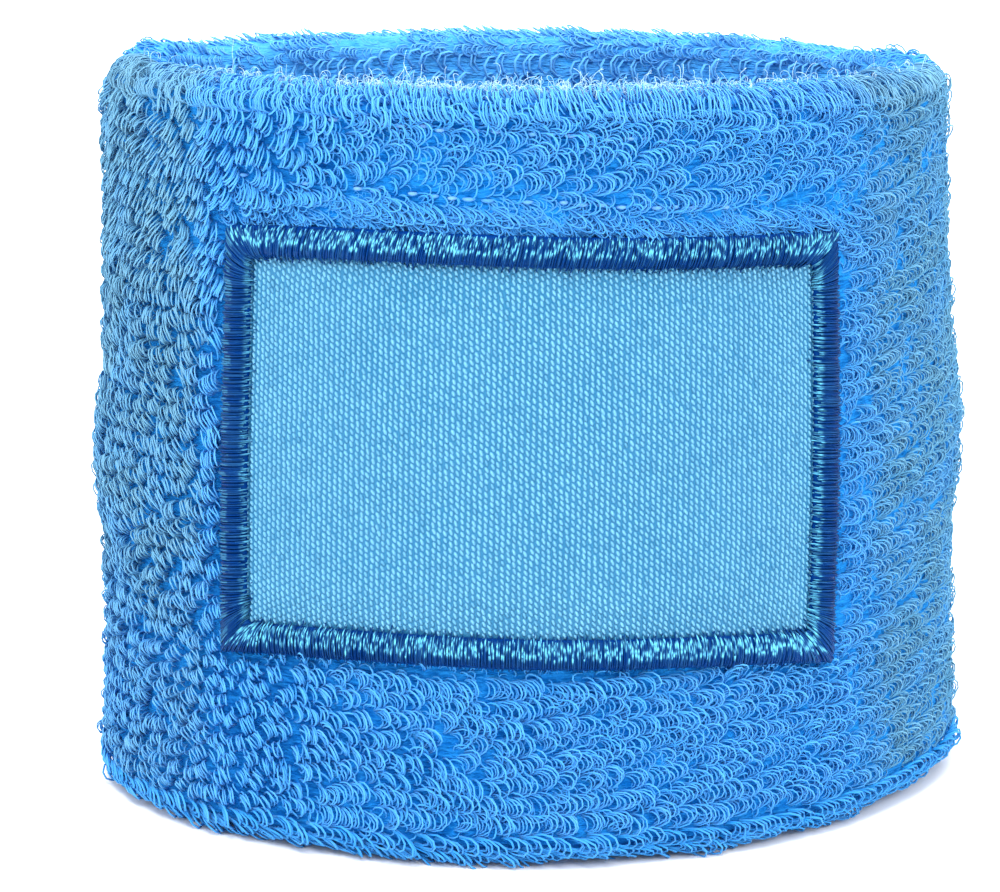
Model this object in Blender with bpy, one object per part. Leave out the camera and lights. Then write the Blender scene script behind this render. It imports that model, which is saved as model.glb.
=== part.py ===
"""Sweat wristband: a terry-knit tube folded double, with a sewn-on satin label.

The wall is a stack of layers. Each layer follows one plan curve, at its own depth below the outer
skin, and the folded layers share one rounded section. So a change to one thickness moves every piece
that fits to it. Depths run inwards from the outer skin of the pile, and heights up from the foot.
"""

import math

import bmesh
import bpy
import numpy as np

MM = 0.001

# The band's own sizes.
BAND_HEIGHT = 60 * MM
BAND_HALF_WIDTH = 35.4 * MM  # plan, to the outer skin halfway up
BAND_HALF_DEPTH = 22.2 * MM
END_SWEEP = 5.2 * MM  # both ends of the plan curve back by this much
END_SKEW = 1.6 * MM  # and the right end by this much more than the left
FOOT_SPREAD = 1.8 * MM  # the wall leans out from rim to foot by this much

# The layers of the wall.
PILE_THICKNESS = 1.8 * MM
GROUND_THICKNESS = 0.5 * MM
FOLD_RADIUS = 0.15 * MM  # inside of the ground knit where it turns over a rim
ELASTIC_DIAMETER = 0.4 * MM
ELASTIC_TURNS = 5
ELASTIC_END_MARGIN = 6 * MM  # from the rim, and from the foot, to the yarn's two ends
SEAM_BEAD_HEIGHT = 1.0 * MM
FIT_GAP = 0.2 * MM  # between any two pieces that lie on each other

# The label.
LABEL_WIDTH = 49.5 * MM  # along the wall, over the stitched border
LABEL_HEIGHT = 33.2 * MM
LABEL_RISE = 1.6 * MM  # the label's centre above the middle of the band's height
LABEL_OFFSET = 0.6 * MM  # along the wall, to the right of the middle of the front
LABEL_TILT = math.radians(1.5)  # right end down, as sewn
PANEL_THICKNESS = 0.25 * MM
PRESSED_PILE = 0.35 * MM  # the loops squashed under the label
BORDER_WIDTH = 2.4 * MM
BORDER_PROUD = 0.35 * MM  # crown of the border above the pile
PANEL_TUCK = 1.35 * MM  # how far the panel runs in under the border
TACK_DIAMETER = 0.25 * MM
BACKING_THICKNESS = 0.2 * MM
BACKING_MARGIN = 2.5 * MM  # the stabiliser's edge beyond the border
BOBBIN_WIDTH = 1.8 * MM
BOBBIN_THICKNESS = 0.2 * MM

# Facets.
STATIONS = 60
PILE_CORNER_STEPS = 3
GROUND_CORNER_STEPS = 1
SEAM_SIDES = 6
TACK_SIDES = 6
LABEL_STEPS = 16
LABEL_RISE_STEPS = 3
ARC_SAMPLES = 2880
BORDER_CROWN_STEPS = 6

# What follows from the sizes above.
SEAM_HEIGHT = BAND_HEIGHT / 2
LABEL_CENTRE_HEIGHT = BAND_HEIGHT / 2 + LABEL_RISE
GROUND_DEPTH = PILE_THICKNESS + FIT_GAP
LAYER_DEPTH = GROUND_DEPTH + GROUND_THICKNESS
BACKING_DEPTH = LAYER_DEPTH + FIT_GAP
BOBBIN_DEPTH = BACKING_DEPTH + BACKING_THICKNESS + FIT_GAP
ELASTIC_DEPTH = BOBBIN_DEPTH + BOBBIN_THICKNESS + FIT_GAP
WALL = ELASTIC_DEPTH + ELASTIC_DIAMETER + FIT_GAP + LAYER_DEPTH
CORNER_RADIUS = FOLD_RADIUS + LAYER_DEPTH
POCKET_DEPTH = PILE_THICKNESS - PRESSED_PILE
PANEL_BACK_DEPTH = POCKET_DEPTH - FIT_GAP
PANEL_FACE_DEPTH = PANEL_BACK_DEPTH - PANEL_THICKNESS
TACK_BACK_DEPTH = PANEL_FACE_DEPTH - FIT_GAP
RABBET_DEPTH = TACK_BACK_DEPTH - TACK_DIAMETER - FIT_GAP
PANEL_EDGE = BORDER_WIDTH - PANEL_TUCK  # from the border's outer edge to the panel's
TACK_EDGE = PANEL_EDGE + 0.5 * PANEL_TUCK


def plan_curve(turn):
    """Point and outward normal of the plan curve at an angle: an ellipse whose ends sweep back."""
    c = np.cos(turn)
    s = np.sin(turn)
    x = BAND_HALF_WIDTH * c
    y = BAND_HALF_DEPTH * s + END_SWEEP * c**2 + END_SKEW * c**3
    dx = -BAND_HALF_WIDTH * s
    dy = BAND_HALF_DEPTH * c - (2 * END_SWEEP * c + 3 * END_SKEW * c**2) * s
    length = np.hypot(dx, dy)
    return np.stack([x, y], -1), np.stack([dy, -dx], -1) / length[..., None]


def lean(height):
    """How far the wall stands out at a height, from nothing halfway up."""
    return FOOT_SPREAD * (0.5 - height / BAND_HEIGHT)


def wall_points(turn, height, depth):
    """Points in space from plan angle, height and depth below the outer skin."""
    point, normal = plan_curve(turn)
    flat = point + normal * (lean(height) - depth)[..., None]
    return np.concatenate([flat, np.broadcast_to(height, depth.shape)[..., None]], -1)


def turn_at(arc):
    """Plan angle at a length along the wall, measured to the right from the middle of the front."""
    turns = np.linspace(-1.5 * math.pi, 0.5 * math.pi, ARC_SAMPLES + 1)
    points, _ = plan_curve(turns)
    run = np.concatenate([[0], np.cumsum(np.linalg.norm(np.diff(points, axis=0), axis=1))])
    run -= run[ARC_SAMPLES // 2]
    return np.interp(arc, run, turns)


def label_points(across, up, depth):
    """Points in space from the label's own width and height directions and a depth."""
    across, up, depth = np.broadcast_arrays(across, up, depth)
    arc = LABEL_OFFSET + across * math.cos(LABEL_TILT) + up * math.sin(LABEL_TILT)
    rise = up * math.cos(LABEL_TILT) - across * math.sin(LABEL_TILT)
    return wall_points(turn_at(arc), LABEL_CENTRE_HEIGHT + rise, depth)


def material(name, colour, roughness):
    """A plain cloth material."""
    made = bpy.data.materials.new(name)
    made.use_nodes = True
    shader = made.node_tree.nodes["Principled BSDF"]
    shader.inputs["Base Color"].default_value = (*colour, 1)
    shader.inputs["Roughness"].default_value = roughness
    shader.inputs["Metallic"].default_value = 0
    return made


def solid(name, points, faces, finish):
    """An object from points and faces, with its faces turned outwards."""
    mesh = bpy.data.meshes.new(name)
    mesh.from_pydata([tuple(p) for p in points.reshape(-1, 3).tolist()], [], faces)
    work = bmesh.new()
    work.from_mesh(mesh)
    bmesh.ops.recalc_face_normals(work, faces=work.faces)
    work.to_mesh(mesh)
    work.free()
    mesh.shade_smooth()
    mesh.set_sharp_from_angle(angle=math.radians(40))
    mesh.materials.append(finish)
    made = bpy.data.objects.new(name, mesh)
    bpy.context.scene.collection.objects.link(made)
    return made


def ring_faces(stations, sides):
    """Quads of a section with that many sides carried round a closed path."""
    faces = []
    for i in range(stations):
        j = (i + 1) % stations
        for a in range(sides):
            b = (a + 1) % sides
            faces.append((i * sides + a, i * sides + b, j * sides + b, j * sides + a))
    return faces


def corner(centre_depth, centre_height, radius, start, steps):
    """A quarter circle of the section from an angle in degrees, in even steps."""
    angles = np.radians(np.linspace(start, start + 90, steps + 1))
    depth = centre_depth + radius * np.cos(angles)
    height = centre_height + radius * np.sin(angles)
    return np.stack([depth, height], -1)


def folded_path(level, seam_half, steps):
    """The section line of a folded layer: from above the seam, over both rims, to below the seam."""
    radius = CORNER_RADIUS - level
    near = CORNER_RADIUS
    far = WALL - CORNER_RADIUS
    low = CORNER_RADIUS
    high = BAND_HEIGHT - CORNER_RADIUS
    path = [
        np.array([[WALL - level, SEAM_HEIGHT + seam_half]]),
        corner(far, high, radius, 0, steps),
        corner(near, high, radius, 90, steps),
        corner(near, low, radius, 180, steps),
        corner(far, low, radius, 270, steps),
        np.array([[WALL - level, SEAM_HEIGHT - seam_half]]),
    ]
    return np.concatenate(path)


def folded_layer(name, outer_level, inner_level, steps, finish):
    """A layer of the doubled tube: a hollow section, open where the closing seam runs."""
    seam_half = SEAM_BEAD_HEIGHT / 2 + FIT_GAP
    outer = folded_path(outer_level, seam_half, steps)
    inner = folded_path(inner_level, seam_half, steps)
    section = np.concatenate([outer, inner[::-1]])
    turns = np.linspace(0, 2 * math.pi, STATIONS, endpoint=False)
    depth = np.broadcast_to(section[:, 0], (STATIONS, len(section)))
    height = np.broadcast_to(section[:, 1], (STATIONS, len(section)))
    points = wall_points(turns[:, None], height, depth)
    return solid(name, points, ring_faces(STATIONS, len(section)), finish)


def plate(name, width, height, face_depth, back_depth, finish):
    """A curved sheet on the label's place, with that outline and thickness."""
    across = np.linspace(-width / 2, width / 2, LABEL_STEPS + 1)
    up = np.linspace(-height / 2, height / 2, LABEL_RISE_STEPS + 1)
    grid_across, grid_up = np.meshgrid(across, up, indexing="ij")
    face = label_points(grid_across, grid_up, face_depth)
    back = label_points(grid_across, grid_up, back_depth)
    rows = LABEL_STEPS + 1
    columns = LABEL_RISE_STEPS + 1
    offset = rows * columns
    faces = []
    for i in range(LABEL_STEPS):
        for j in range(LABEL_RISE_STEPS):
            quad = [i * columns + j, (i + 1) * columns + j, (i + 1) * columns + j + 1, i * columns + j + 1]
            faces.append(tuple(quad))
            faces.append(tuple(offset + k for k in reversed(quad)))
    rim = [i * columns for i in range(rows)]
    rim += [(rows - 1) * columns + j for j in range(1, columns)]
    rim += [i * columns + columns - 1 for i in range(rows - 2, -1, -1)]
    rim += list(range(columns - 2, 0, -1))
    for a, b in zip(rim, rim[1:] + rim[:1]):
        faces.append((a, offset + a, offset + b, b))
    return solid(name, np.concatenate([face.reshape(-1, 3), back.reshape(-1, 3)]), faces, finish)


def frame_path(inset):
    """Stations round the label's outline: place of the outer edge and the way inwards, mitred at corners."""
    half_width = LABEL_WIDTH / 2
    half_height = LABEL_HEIGHT / 2
    along = np.linspace(-half_width + inset, half_width - inset, LABEL_STEPS + 1)
    rise = np.linspace(-half_height + inset, half_height - inset, LABEL_RISE_STEPS + 1)
    places = [(-half_width, -half_height, 1, 1)]
    places += [(u, -half_height, 0, 1) for u in along]
    places += [(half_width, -half_height, -1, 1)]
    places += [(half_width, v, -1, 0) for v in rise]
    places += [(half_width, half_height, -1, -1)]
    places += [(u, half_height, 0, -1) for u in along[::-1]]
    places += [(-half_width, half_height, 1, -1)]
    places += [(-half_width, v, 1, 0) for v in rise[::-1]]
    return np.array(places)


def stitched_frame(name, section, finish):
    """A closed frame round the label, with a section given as distance inwards and depth."""
    section = np.array(section)
    path = frame_path(section[:, 0].max() + FIT_GAP)
    across = path[:, None, 0] + path[:, None, 2] * section[None, :, 0]
    up = path[:, None, 1] + path[:, None, 3] * section[None, :, 0]
    points = label_points(across, up, section[None, :, 1])
    return solid(name, points, ring_faces(len(path), len(section)), finish)


def border_section():
    """The bead of satin stitch: a half oval on top, and a step below that covers the panel's edge."""
    angles = np.linspace(math.pi, 0, BORDER_CROWN_STEPS + 1)
    half = BORDER_WIDTH / 2
    crown = RABBET_DEPTH + BORDER_PROUD
    oval = [(half + half * math.cos(a), RABBET_DEPTH - crown * math.sin(a)) for a in angles]
    wall = PANEL_EDGE - FIT_GAP
    return oval + [(wall, RABBET_DEPTH), (wall, PANEL_BACK_DEPTH), (0, PANEL_BACK_DEPTH)]


def round_section(centre_inset, centre_depth, diameter, sides):
    """A round thread's section."""
    angles = np.linspace(0, 2 * math.pi, sides, endpoint=False)
    radius = diameter / 2
    return [(centre_inset + radius * math.cos(a), centre_depth + radius * math.sin(a)) for a in angles]


def box_section(inset, width, face_depth, thickness):
    """A flat run of thread's section."""
    back = face_depth + thickness
    return [(inset, face_depth), (inset + width, face_depth), (inset + width, back), (inset, back)]


def seam_thread(name, finish):
    """The closing seam's bead, all round the inner wall between the tube's two ends."""
    angles = np.linspace(0, 2 * math.pi, SEAM_SIDES, endpoint=False)
    half_depth = LAYER_DEPTH / 2
    section_depth = WALL - half_depth + (half_depth - FIT_GAP / 2) * np.cos(angles)
    section_height = SEAM_HEIGHT + SEAM_BEAD_HEIGHT / 2 * np.sin(angles)
    turns = np.linspace(0, 2 * math.pi, STATIONS, endpoint=False)
    depth = np.broadcast_to(section_depth, (STATIONS, SEAM_SIDES))
    height = np.broadcast_to(section_height, (STATIONS, SEAM_SIDES))
    points = wall_points(turns[:, None], height, depth)
    return solid(name, points, ring_faces(STATIONS, SEAM_SIDES), finish)


def elastic_yarn(name, finish):
    """One covered elastic yarn, wound between the two layers as an even spiral."""
    count = ELASTIC_TURNS * STATIONS + 1
    turns = np.linspace(0, 2 * math.pi * ELASTIC_TURNS, count)
    height = np.linspace(ELASTIC_END_MARGIN, BAND_HEIGHT - ELASTIC_END_MARGIN, count)
    depth = np.full(count, ELASTIC_DEPTH + ELASTIC_DIAMETER / 2)
    points = wall_points(turns, height, depth)
    curve = bpy.data.curves.new(name, "CURVE")
    curve.dimensions = "3D"
    curve.bevel_depth = ELASTIC_DIAMETER / 2
    curve.bevel_resolution = 0
    curve.use_fill_caps = True
    spline = curve.splines.new("POLY")
    spline.points.add(count - 1)
    spline.points.foreach_set("co", np.column_stack([points, np.ones(count)]).ravel())
    curve.materials.append(finish)
    made = bpy.data.objects.new(name, curve)
    bpy.context.scene.collection.objects.link(made)
    return made


def cut_label_pocket(pile, finish):
    """Presses the outer loops down where the label is sewn on."""
    room = 2 * FIT_GAP
    above = BORDER_PROUD + FOOT_SPREAD
    cutter = plate("label_pocket_cutter", LABEL_WIDTH + room, LABEL_HEIGHT + room, -above, POCKET_DEPTH, finish)
    cutter.hide_render = True
    cutter.display_type = "WIRE"
    cut = pile.modifiers.new("label_pocket", "BOOLEAN")
    cut.operation = "DIFFERENCE"
    cut.solver = "EXACT"
    cut.object = cutter


def main():
    """Builds every piece."""
    for old in list(bpy.data.objects):
        bpy.data.objects.remove(old)
    pile_cloth = material("pile", (0.06, 0.30, 0.72), 0.9)
    ground_cloth = material("ground_knit", (0.02, 0.16, 0.50), 0.9)
    elastic_cloth = material("covered_elastic", (0.62, 0.60, 0.66), 0.7)
    seam_cloth = material("seam_thread", (0.05, 0.26, 0.66), 0.7)
    panel_cloth = material("label_satin", (0.16, 0.50, 0.80), 0.5)
    border_cloth = material("border_thread", (0.01, 0.10, 0.36), 0.35)
    backing_cloth = material("stabiliser", (0.80, 0.80, 0.78), 0.9)

    pile = folded_layer("terry_pile", 0, PILE_THICKNESS, PILE_CORNER_STEPS, pile_cloth)
    cut_label_pocket(pile, pile_cloth)
    folded_layer("ground_knit", GROUND_DEPTH, LAYER_DEPTH, GROUND_CORNER_STEPS, ground_cloth)
    elastic_yarn("elastic_yarn", elastic_cloth)
    seam_thread("closing_seam_thread", seam_cloth)

    panel_width = LABEL_WIDTH - 2 * PANEL_EDGE
    panel_height = LABEL_HEIGHT - 2 * PANEL_EDGE
    plate("label_panel", panel_width, panel_height, PANEL_FACE_DEPTH, PANEL_BACK_DEPTH, panel_cloth)
    stitched_frame("label_border_stitch", border_section(), border_cloth)
    tack_depth = TACK_BACK_DEPTH - TACK_DIAMETER / 2
    tack = round_section(TACK_EDGE, tack_depth, TACK_DIAMETER, TACK_SIDES)
    stitched_frame("label_tack_stitch", tack, border_cloth)
    backing_width = LABEL_WIDTH + 2 * BACKING_MARGIN
    backing_height = LABEL_HEIGHT + 2 * BACKING_MARGIN
    backing_back = BACKING_DEPTH + BACKING_THICKNESS
    plate("label_backing", backing_width, backing_height, BACKING_DEPTH, backing_back, backing_cloth)
    bobbin_inset = (BORDER_WIDTH - BOBBIN_WIDTH) / 2
    bobbin = box_section(bobbin_inset, BOBBIN_WIDTH, BOBBIN_DEPTH, BOBBIN_THICKNESS)
    stitched_frame("label_bobbin_thread", bobbin, backing_cloth)


main()
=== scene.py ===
"""Looks of a terry sweat wristband with a satin label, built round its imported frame.

The pile is some thousands of yarn loops, each a nest of filament arcs, set out in knitted rows over
the folded wall. The label is a woven satin panel under a border of separate stitches. All soft pieces
are placed by one description of the wall: a length along it, a length round its section, and a lift.
"""

import logging
import math
from dataclasses import dataclass
from enum import Enum
from functools import cached_property

import bpy
import numpy as np
from mathutils import Matrix, Vector


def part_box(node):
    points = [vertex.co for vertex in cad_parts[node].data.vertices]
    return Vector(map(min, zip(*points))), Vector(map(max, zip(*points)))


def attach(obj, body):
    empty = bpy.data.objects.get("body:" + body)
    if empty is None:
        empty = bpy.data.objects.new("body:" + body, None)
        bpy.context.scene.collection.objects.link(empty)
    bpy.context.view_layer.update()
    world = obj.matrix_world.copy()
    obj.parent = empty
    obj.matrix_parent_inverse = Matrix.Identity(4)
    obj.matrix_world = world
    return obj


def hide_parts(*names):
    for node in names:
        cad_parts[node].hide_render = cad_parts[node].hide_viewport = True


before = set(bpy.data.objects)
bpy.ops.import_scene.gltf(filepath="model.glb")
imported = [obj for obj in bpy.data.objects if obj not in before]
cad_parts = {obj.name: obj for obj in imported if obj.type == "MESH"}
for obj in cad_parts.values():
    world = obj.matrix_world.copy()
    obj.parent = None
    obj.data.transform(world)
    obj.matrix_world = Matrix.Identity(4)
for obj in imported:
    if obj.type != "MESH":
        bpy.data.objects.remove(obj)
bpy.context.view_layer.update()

logging.basicConfig(level=logging.INFO, format="%(name)s: %(message)s")
LOG = logging.getLogger("wristband")

MM = 0.001
BAKE_MAP = "OFBake"
TONE = "tone"
# Attribute that blends a finish to its second pair of colours, painted under other light.
RELIGHT = "fade"
PIECE_LIMIT = 190_000


class Region(Enum):
    """Parts of the wall that carry loops of their own make."""

    FRONT = "front"
    BACK = "back"
    RIM = "rim"
    FAR_RIM = "far_rim"
    INNER = "inner"
    FOOT = "foot"


def smoothstep(low: float, high: float, value: np.ndarray) -> np.ndarray:
    """Rises smoothly from 0 at low to 1 at high."""
    t = np.clip((value - low) / (high - low), 0, 1)
    return t * t * (3 - 2 * t)


def near_turn(turn: np.ndarray, centre: float, spread: float) -> np.ndarray:
    """A bell over plan angles, round a centre and with a spread in degrees."""
    gap = np.angle(np.exp(1j * (turn - math.radians(centre))))
    return np.exp(-((gap / math.radians(spread)) ** 2))


def unit(vectors: np.ndarray) -> np.ndarray:
    """Vectors scaled to length one."""
    return vectors / np.maximum(np.linalg.norm(vectors, axis=-1, keepdims=True), 1e-12)


def spin(points: np.ndarray, angle: float) -> np.ndarray:
    """Points of a plane turned anticlockwise about its origin."""
    c, s = math.cos(angle), math.sin(angle)
    return np.stack([points[..., 0] * c - points[..., 1] * s, points[..., 0] * s + points[..., 1] * c], -1)


@dataclass(frozen=True)
class Bell:
    """A smooth local rise on the plan.

    Args:
        height: of its top.
        centre: plan angle of its top, in degrees.
        spread: plan angle over which it fades, in degrees.
    """

    height: float
    centre: float
    spread: float

    def at(self, turn: np.ndarray) -> np.ndarray:
        """Its height at plan angles in radians."""
        return self.height * near_turn(turn, self.centre, self.spread)


@dataclass(frozen=True)
class WaveField:
    """A smooth random field: the mean of plane waves in random directions.

    Args:
        seed: picks the waves.
        scale: typical distance between a crest and the next, in metres.
        waves: how many are added.
    """

    seed: int
    scale: float
    waves: int = 10

    def at(self, points: np.ndarray) -> np.ndarray:
        """Value near -1..1 at each point.

        Args:
            points: places, with their coordinates last.

        Returns:
            One value for each point.
        """
        rng = np.random.default_rng(self.seed)
        size = points.shape[-1]
        total = np.zeros(points.shape[:-1])
        for _ in range(self.waves):
            way = unit(rng.normal(size=size)) * 2 * math.pi / (self.scale * rng.uniform(0.7, 1.5))
            total += np.sin(points @ way + rng.uniform(0, 2 * math.pi))
        return total / math.sqrt(self.waves / 2) / 1.6


@dataclass(frozen=True)
class WallShape:
    """The folded wall: a plan curve, a rounded section, the lean of the wall and the droop of its rim.

    Args:
        half_width: plan, to the outer skin halfway up.
        half_depth: the same from front to back.
        height: from the foot to the rim.
        end_sweep: how far both ends of the plan sweep back.
        end_skew: how much more the right end does than the left.
        foot_spread: how far the wall leans out from rim to foot.
        wall: thickness of the doubled wall.
        corner: radius of the section's corners.
    """

    half_width: float
    half_depth: float
    height: float
    end_sweep: float = 5.2 * MM
    end_skew: float = 1.6 * MM
    foot_spread: float = 1.8 * MM
    wall: float = 6.6 * MM
    corner: float = 2.65 * MM

    RIM_RISES = (Bell(1.0, 172, 22), Bell(0.6, 6, 26), Bell(0.3, 98, 30), Bell(0.5, 58, 24))
    CREASE = Bell(1.1, 176, 6)
    RIGHT_BULGE, LEFT_BULGE = Bell(1.0, 0, 30), Bell(0.9, 180, 30)
    LEFT_FLARE, FRONT_SPLAY = Bell(0.55, 195, 28), Bell(0.6, 268, 45)
    RIGHT_LIFT = Bell(0.8, -8, 26)

    @classmethod
    def from_frame(cls) -> "WallShape":
        """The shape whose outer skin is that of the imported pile.

        Returns:
            The wall.
        """
        low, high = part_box("terry_pile")
        lean = cls.foot_spread * (0.5 - cls.corner / (high.z - low.z))
        return cls((high.x - low.x) / 2 - lean, -low.y - lean, high.z - low.z)

    def plan(self, turn: np.ndarray) -> tuple[np.ndarray, np.ndarray]:
        """Point and outward normal of the plan curve: an ellipse whose ends sweep back.

        Args:
            turn: plan angle, 0 at the right end and -90 degrees at the front.

        Returns:
            Points and unit normals, two coordinates each.
        """
        c, s = np.cos(turn), np.sin(turn)
        x = self.half_width * c
        y = self.half_depth * s + self.end_sweep * c**2 + self.end_skew * c**3
        dx = -self.half_width * s
        dy = self.half_depth * c - (2 * self.end_sweep * c + 3 * self.end_skew * c**2) * s
        return np.stack([x, y], -1), unit(np.stack([dy, -dx], -1))

    @cached_property
    def arc_table(self) -> tuple[np.ndarray, np.ndarray]:
        """Lengths along the plan from the middle of the front, and their plan angles.

        Returns:
            Two arrays that rise together, from the middle of the back once round to it again.
        """
        half = 1440
        turns = np.linspace(-1.5 * math.pi, 0.5 * math.pi, 2 * half + 1)
        points, _ = self.plan(turns)
        run = np.concatenate([[0], np.cumsum(np.linalg.norm(np.diff(points, axis=0), axis=1))])
        return run - run[half], turns

    @property
    def around(self) -> float:
        """Length of the plan curve."""
        run, _ = self.arc_table
        return run[-1] - run[0]

    def turn_at(self, arc: np.ndarray) -> np.ndarray:
        """Plan angle at a length along the wall.

        Args:
            arc: length to the right of the middle of the front.

        Returns:
            Angles in radians.
        """
        run, turns = self.arc_table
        wrapped = np.mod(arc - run[0], self.around) + run[0]
        return np.interp(wrapped, run, turns)

    @property
    def straight(self) -> float:
        """Length of the section's straight side."""
        return self.height - 2 * self.corner

    @property
    def outline(self) -> np.ndarray:
        """Lengths at which the section's eight parts start, and the whole length last.

        Returns:
            Nine lengths: outer side, corner, rim, corner, inner side, corner, foot, corner, end.
        """
        flat, quarter = self.wall - 2 * self.corner, math.pi / 2 * self.corner
        parts = [self.straight, quarter, flat, quarter] * 2
        return np.concatenate([[0], np.cumsum(parts)])

    def section(self, run: np.ndarray) -> tuple[np.ndarray, np.ndarray]:
        """Where a length along the section's outline is, and which way is out.

        The outline starts at the foot of the outer wall, climbs it, crosses the rim, goes down the
        inner wall and comes back under the foot.

        Args:
            run: length along the outline.

        Returns:
            Depth and height of the point, and the outward direction in the same two coordinates.
        """
        edges = self.outline
        run = np.mod(run, edges[-1])
        part = np.clip(np.searchsorted(edges, run, side="right") - 1, 0, 7)
        along = run - edges[part]
        low, high, far = self.corner, self.height - self.corner, self.wall - self.corner
        centre_depth = np.array([low, low, low, far, far, far, far, low])[part]
        centre_height = np.array([low, high, high, high, high, low, low, low])[part]
        start = math.pi - math.pi / 2 * (np.arange(8) // 2)
        bend = part % 2 == 1
        angle = np.where(bend, start[part] - along / self.corner, start[part])
        out = np.stack([np.cos(angle), np.sin(angle)], -1)
        travel = np.stack([out[..., 1], -out[..., 0]], -1)
        slide = np.where(bend, 0, along)[..., None] * travel
        return np.stack([centre_depth, centre_height], -1) + self.corner * out + slide, out

    def droop(self, turn: np.ndarray) -> np.ndarray:
        """How far the rim stands above its nominal height, with the storage crease at the left end.

        A slow wave of one and two turns round the band, plus four bells, less the narrow crease.

        Args:
            turn: plan angle.

        Returns:
            Heights.
        """
        wave = -0.50 * np.cos(turn) + 0.58 * np.sin(turn) - 0.24 * np.cos(2 * turn)
        back_left = 0.3 * (1 - np.cos(turn)) * (0.6 + 0.4 * np.sin(turn))
        bells = sum(bell.at(turn) for bell in self.RIM_RISES)
        return (wave + back_left + bells - self.CREASE.at(turn)) * MM

    def swell(self, turn: np.ndarray, height: np.ndarray) -> np.ndarray:
        """How far the soft wall bulges out at its two ends, and flares at the foot.

        Each is a bell round the plan times a bell up the wall.

        Args:
            turn: plan angle.
            height: above the foot.

        Returns:
            Distances outwards.
        """
        share = height / self.height
        right = self.RIGHT_BULGE.at(turn) * (0.4 + 0.9 * np.exp(-(((share - 0.50) / 0.12) ** 2)))
        left = self.LEFT_BULGE.at(turn) * np.exp(-(((share - 0.47) / 0.10) ** 2))
        flare = self.LEFT_FLARE.at(turn) * np.exp(-((share / 0.12) ** 2))
        splay = self.FRONT_SPLAY.at(turn) * np.exp(-((share / 0.08) ** 2))
        return (right + left + flare + splay) * MM

    def foot_lift(self, turn: np.ndarray, height: np.ndarray) -> np.ndarray:
        """How far the foot stands off the floor at the right end."""
        low = np.clip(1 - height / (0.4 * self.height), 0, 1.2)
        return self.RIGHT_LIFT.at(turn) * MM * low**2

    def place(self, arc: np.ndarray, run: np.ndarray, lift: np.ndarray) -> np.ndarray:
        """Points in space from wall coordinates.

        Args:
            arc: length along the wall.
            run: length round the section.
            lift: height above the outer skin.

        Returns:
            Points with three coordinates.
        """
        arc, run, lift = np.broadcast_arrays(arc, run, lift)
        spot, out = self.section(run)
        depth = spot[..., 0] + lift * out[..., 0]
        height = spot[..., 1] + lift * out[..., 1]
        return self.stand(arc, height, depth)

    def stand(self, arc: np.ndarray, height: np.ndarray, depth: np.ndarray) -> np.ndarray:
        """Points in space from upright coordinates.

        Args:
            arc: length along the wall.
            height: above the foot, before the rim's droop.
            depth: below the outer skin.

        Returns:
            Points with three coordinates.
        """
        arc, height, depth = np.broadcast_arrays(arc, height, depth)
        turn = self.turn_at(arc)
        point, normal = self.plan(turn)
        lean = self.foot_spread * (0.5 - height / self.height) + self.swell(turn, height)
        flat = point + normal * (lean - depth)[..., None]
        rise = self.droop(turn) * np.clip(height / self.height, 0, 1.1) ** 2
        rise = rise + self.foot_lift(turn, height)
        return np.concatenate([flat, (height + rise)[..., None]], -1)


@dataclass
class MeshParts:
    """One piece in the making.

    Args:
        points: vertices.
        quads: four-sided faces.
        tris: three-sided faces.
        tone: light or dark, for each vertex.
        quad_uv: map places of the quads' corners.
        tri_uv: the same for the triangles.
        fade: how far each vertex goes to its finish's second pair of colours, the same yarn under other
            painted light.
    """

    points: np.ndarray
    quads: np.ndarray
    tris: np.ndarray
    tone: np.ndarray
    quad_uv: np.ndarray | None = None
    tri_uv: np.ndarray | None = None
    fade: np.ndarray | None = None

    @property
    def triangles(self) -> int:
        """Triangle count."""
        return 2 * len(self.quads) + len(self.tris)


def make_mesh(name: str, parts: MeshParts, finish: bpy.types.Material) -> bpy.types.Object:
    """A smooth-shaded mesh object from arrays.

    Args:
        name: the piece's name.
        parts: its geometry.
        finish: its material.

    Returns:
        The linked object, at the origin.
    """
    mesh = bpy.data.meshes.new(name)
    mesh.vertices.add(len(parts.points))
    mesh.vertices.foreach_set("co", parts.points.astype(np.float32).ravel())
    corners = np.concatenate([parts.quads.ravel(), parts.tris.ravel()]).astype(np.int32)
    starts = np.concatenate(
        [np.arange(len(parts.quads)) * 4, len(parts.quads) * 4 + np.arange(len(parts.tris)) * 3]
    )
    mesh.loops.add(len(corners))
    mesh.loops.foreach_set("vertex_index", corners)
    mesh.polygons.add(len(starts))
    mesh.polygons.foreach_set("loop_start", starts.astype(np.int32))
    mesh.update(calc_edges=True)
    mesh.polygons.foreach_set("use_smooth", np.ones(len(starts), bool))
    tone = mesh.attributes.new(TONE, "FLOAT", "POINT")
    tone.data.foreach_set("value", parts.tone.astype(np.float32).ravel())
    if parts.fade is not None:
        fade = mesh.attributes.new(RELIGHT, "FLOAT", "POINT")
        fade.data.foreach_set("value", parts.fade.astype(np.float32).ravel())
    if parts.quad_uv is not None:
        layer = mesh.uv_layers.new(name=BAKE_MAP)
        uv = np.concatenate([parts.quad_uv.reshape(-1, 2), parts.tri_uv.reshape(-1, 2)])
        layer.data.foreach_set("uv", uv.astype(np.float32).ravel())
    mesh.materials.append(finish)
    mesh.validate(clean_customdata=False)
    made = bpy.data.objects.new(name, mesh)
    bpy.context.scene.collection.objects.link(made)
    LOG.info("%s: %d triangles", name, parts.triangles)
    return made


def settle(piece: bpy.types.Object, node: str | None = None) -> bpy.types.Object:
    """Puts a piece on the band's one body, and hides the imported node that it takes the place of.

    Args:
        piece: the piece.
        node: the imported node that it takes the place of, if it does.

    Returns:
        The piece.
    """
    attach(piece, "root")
    if node:
        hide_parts(node)
    return piece


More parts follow.
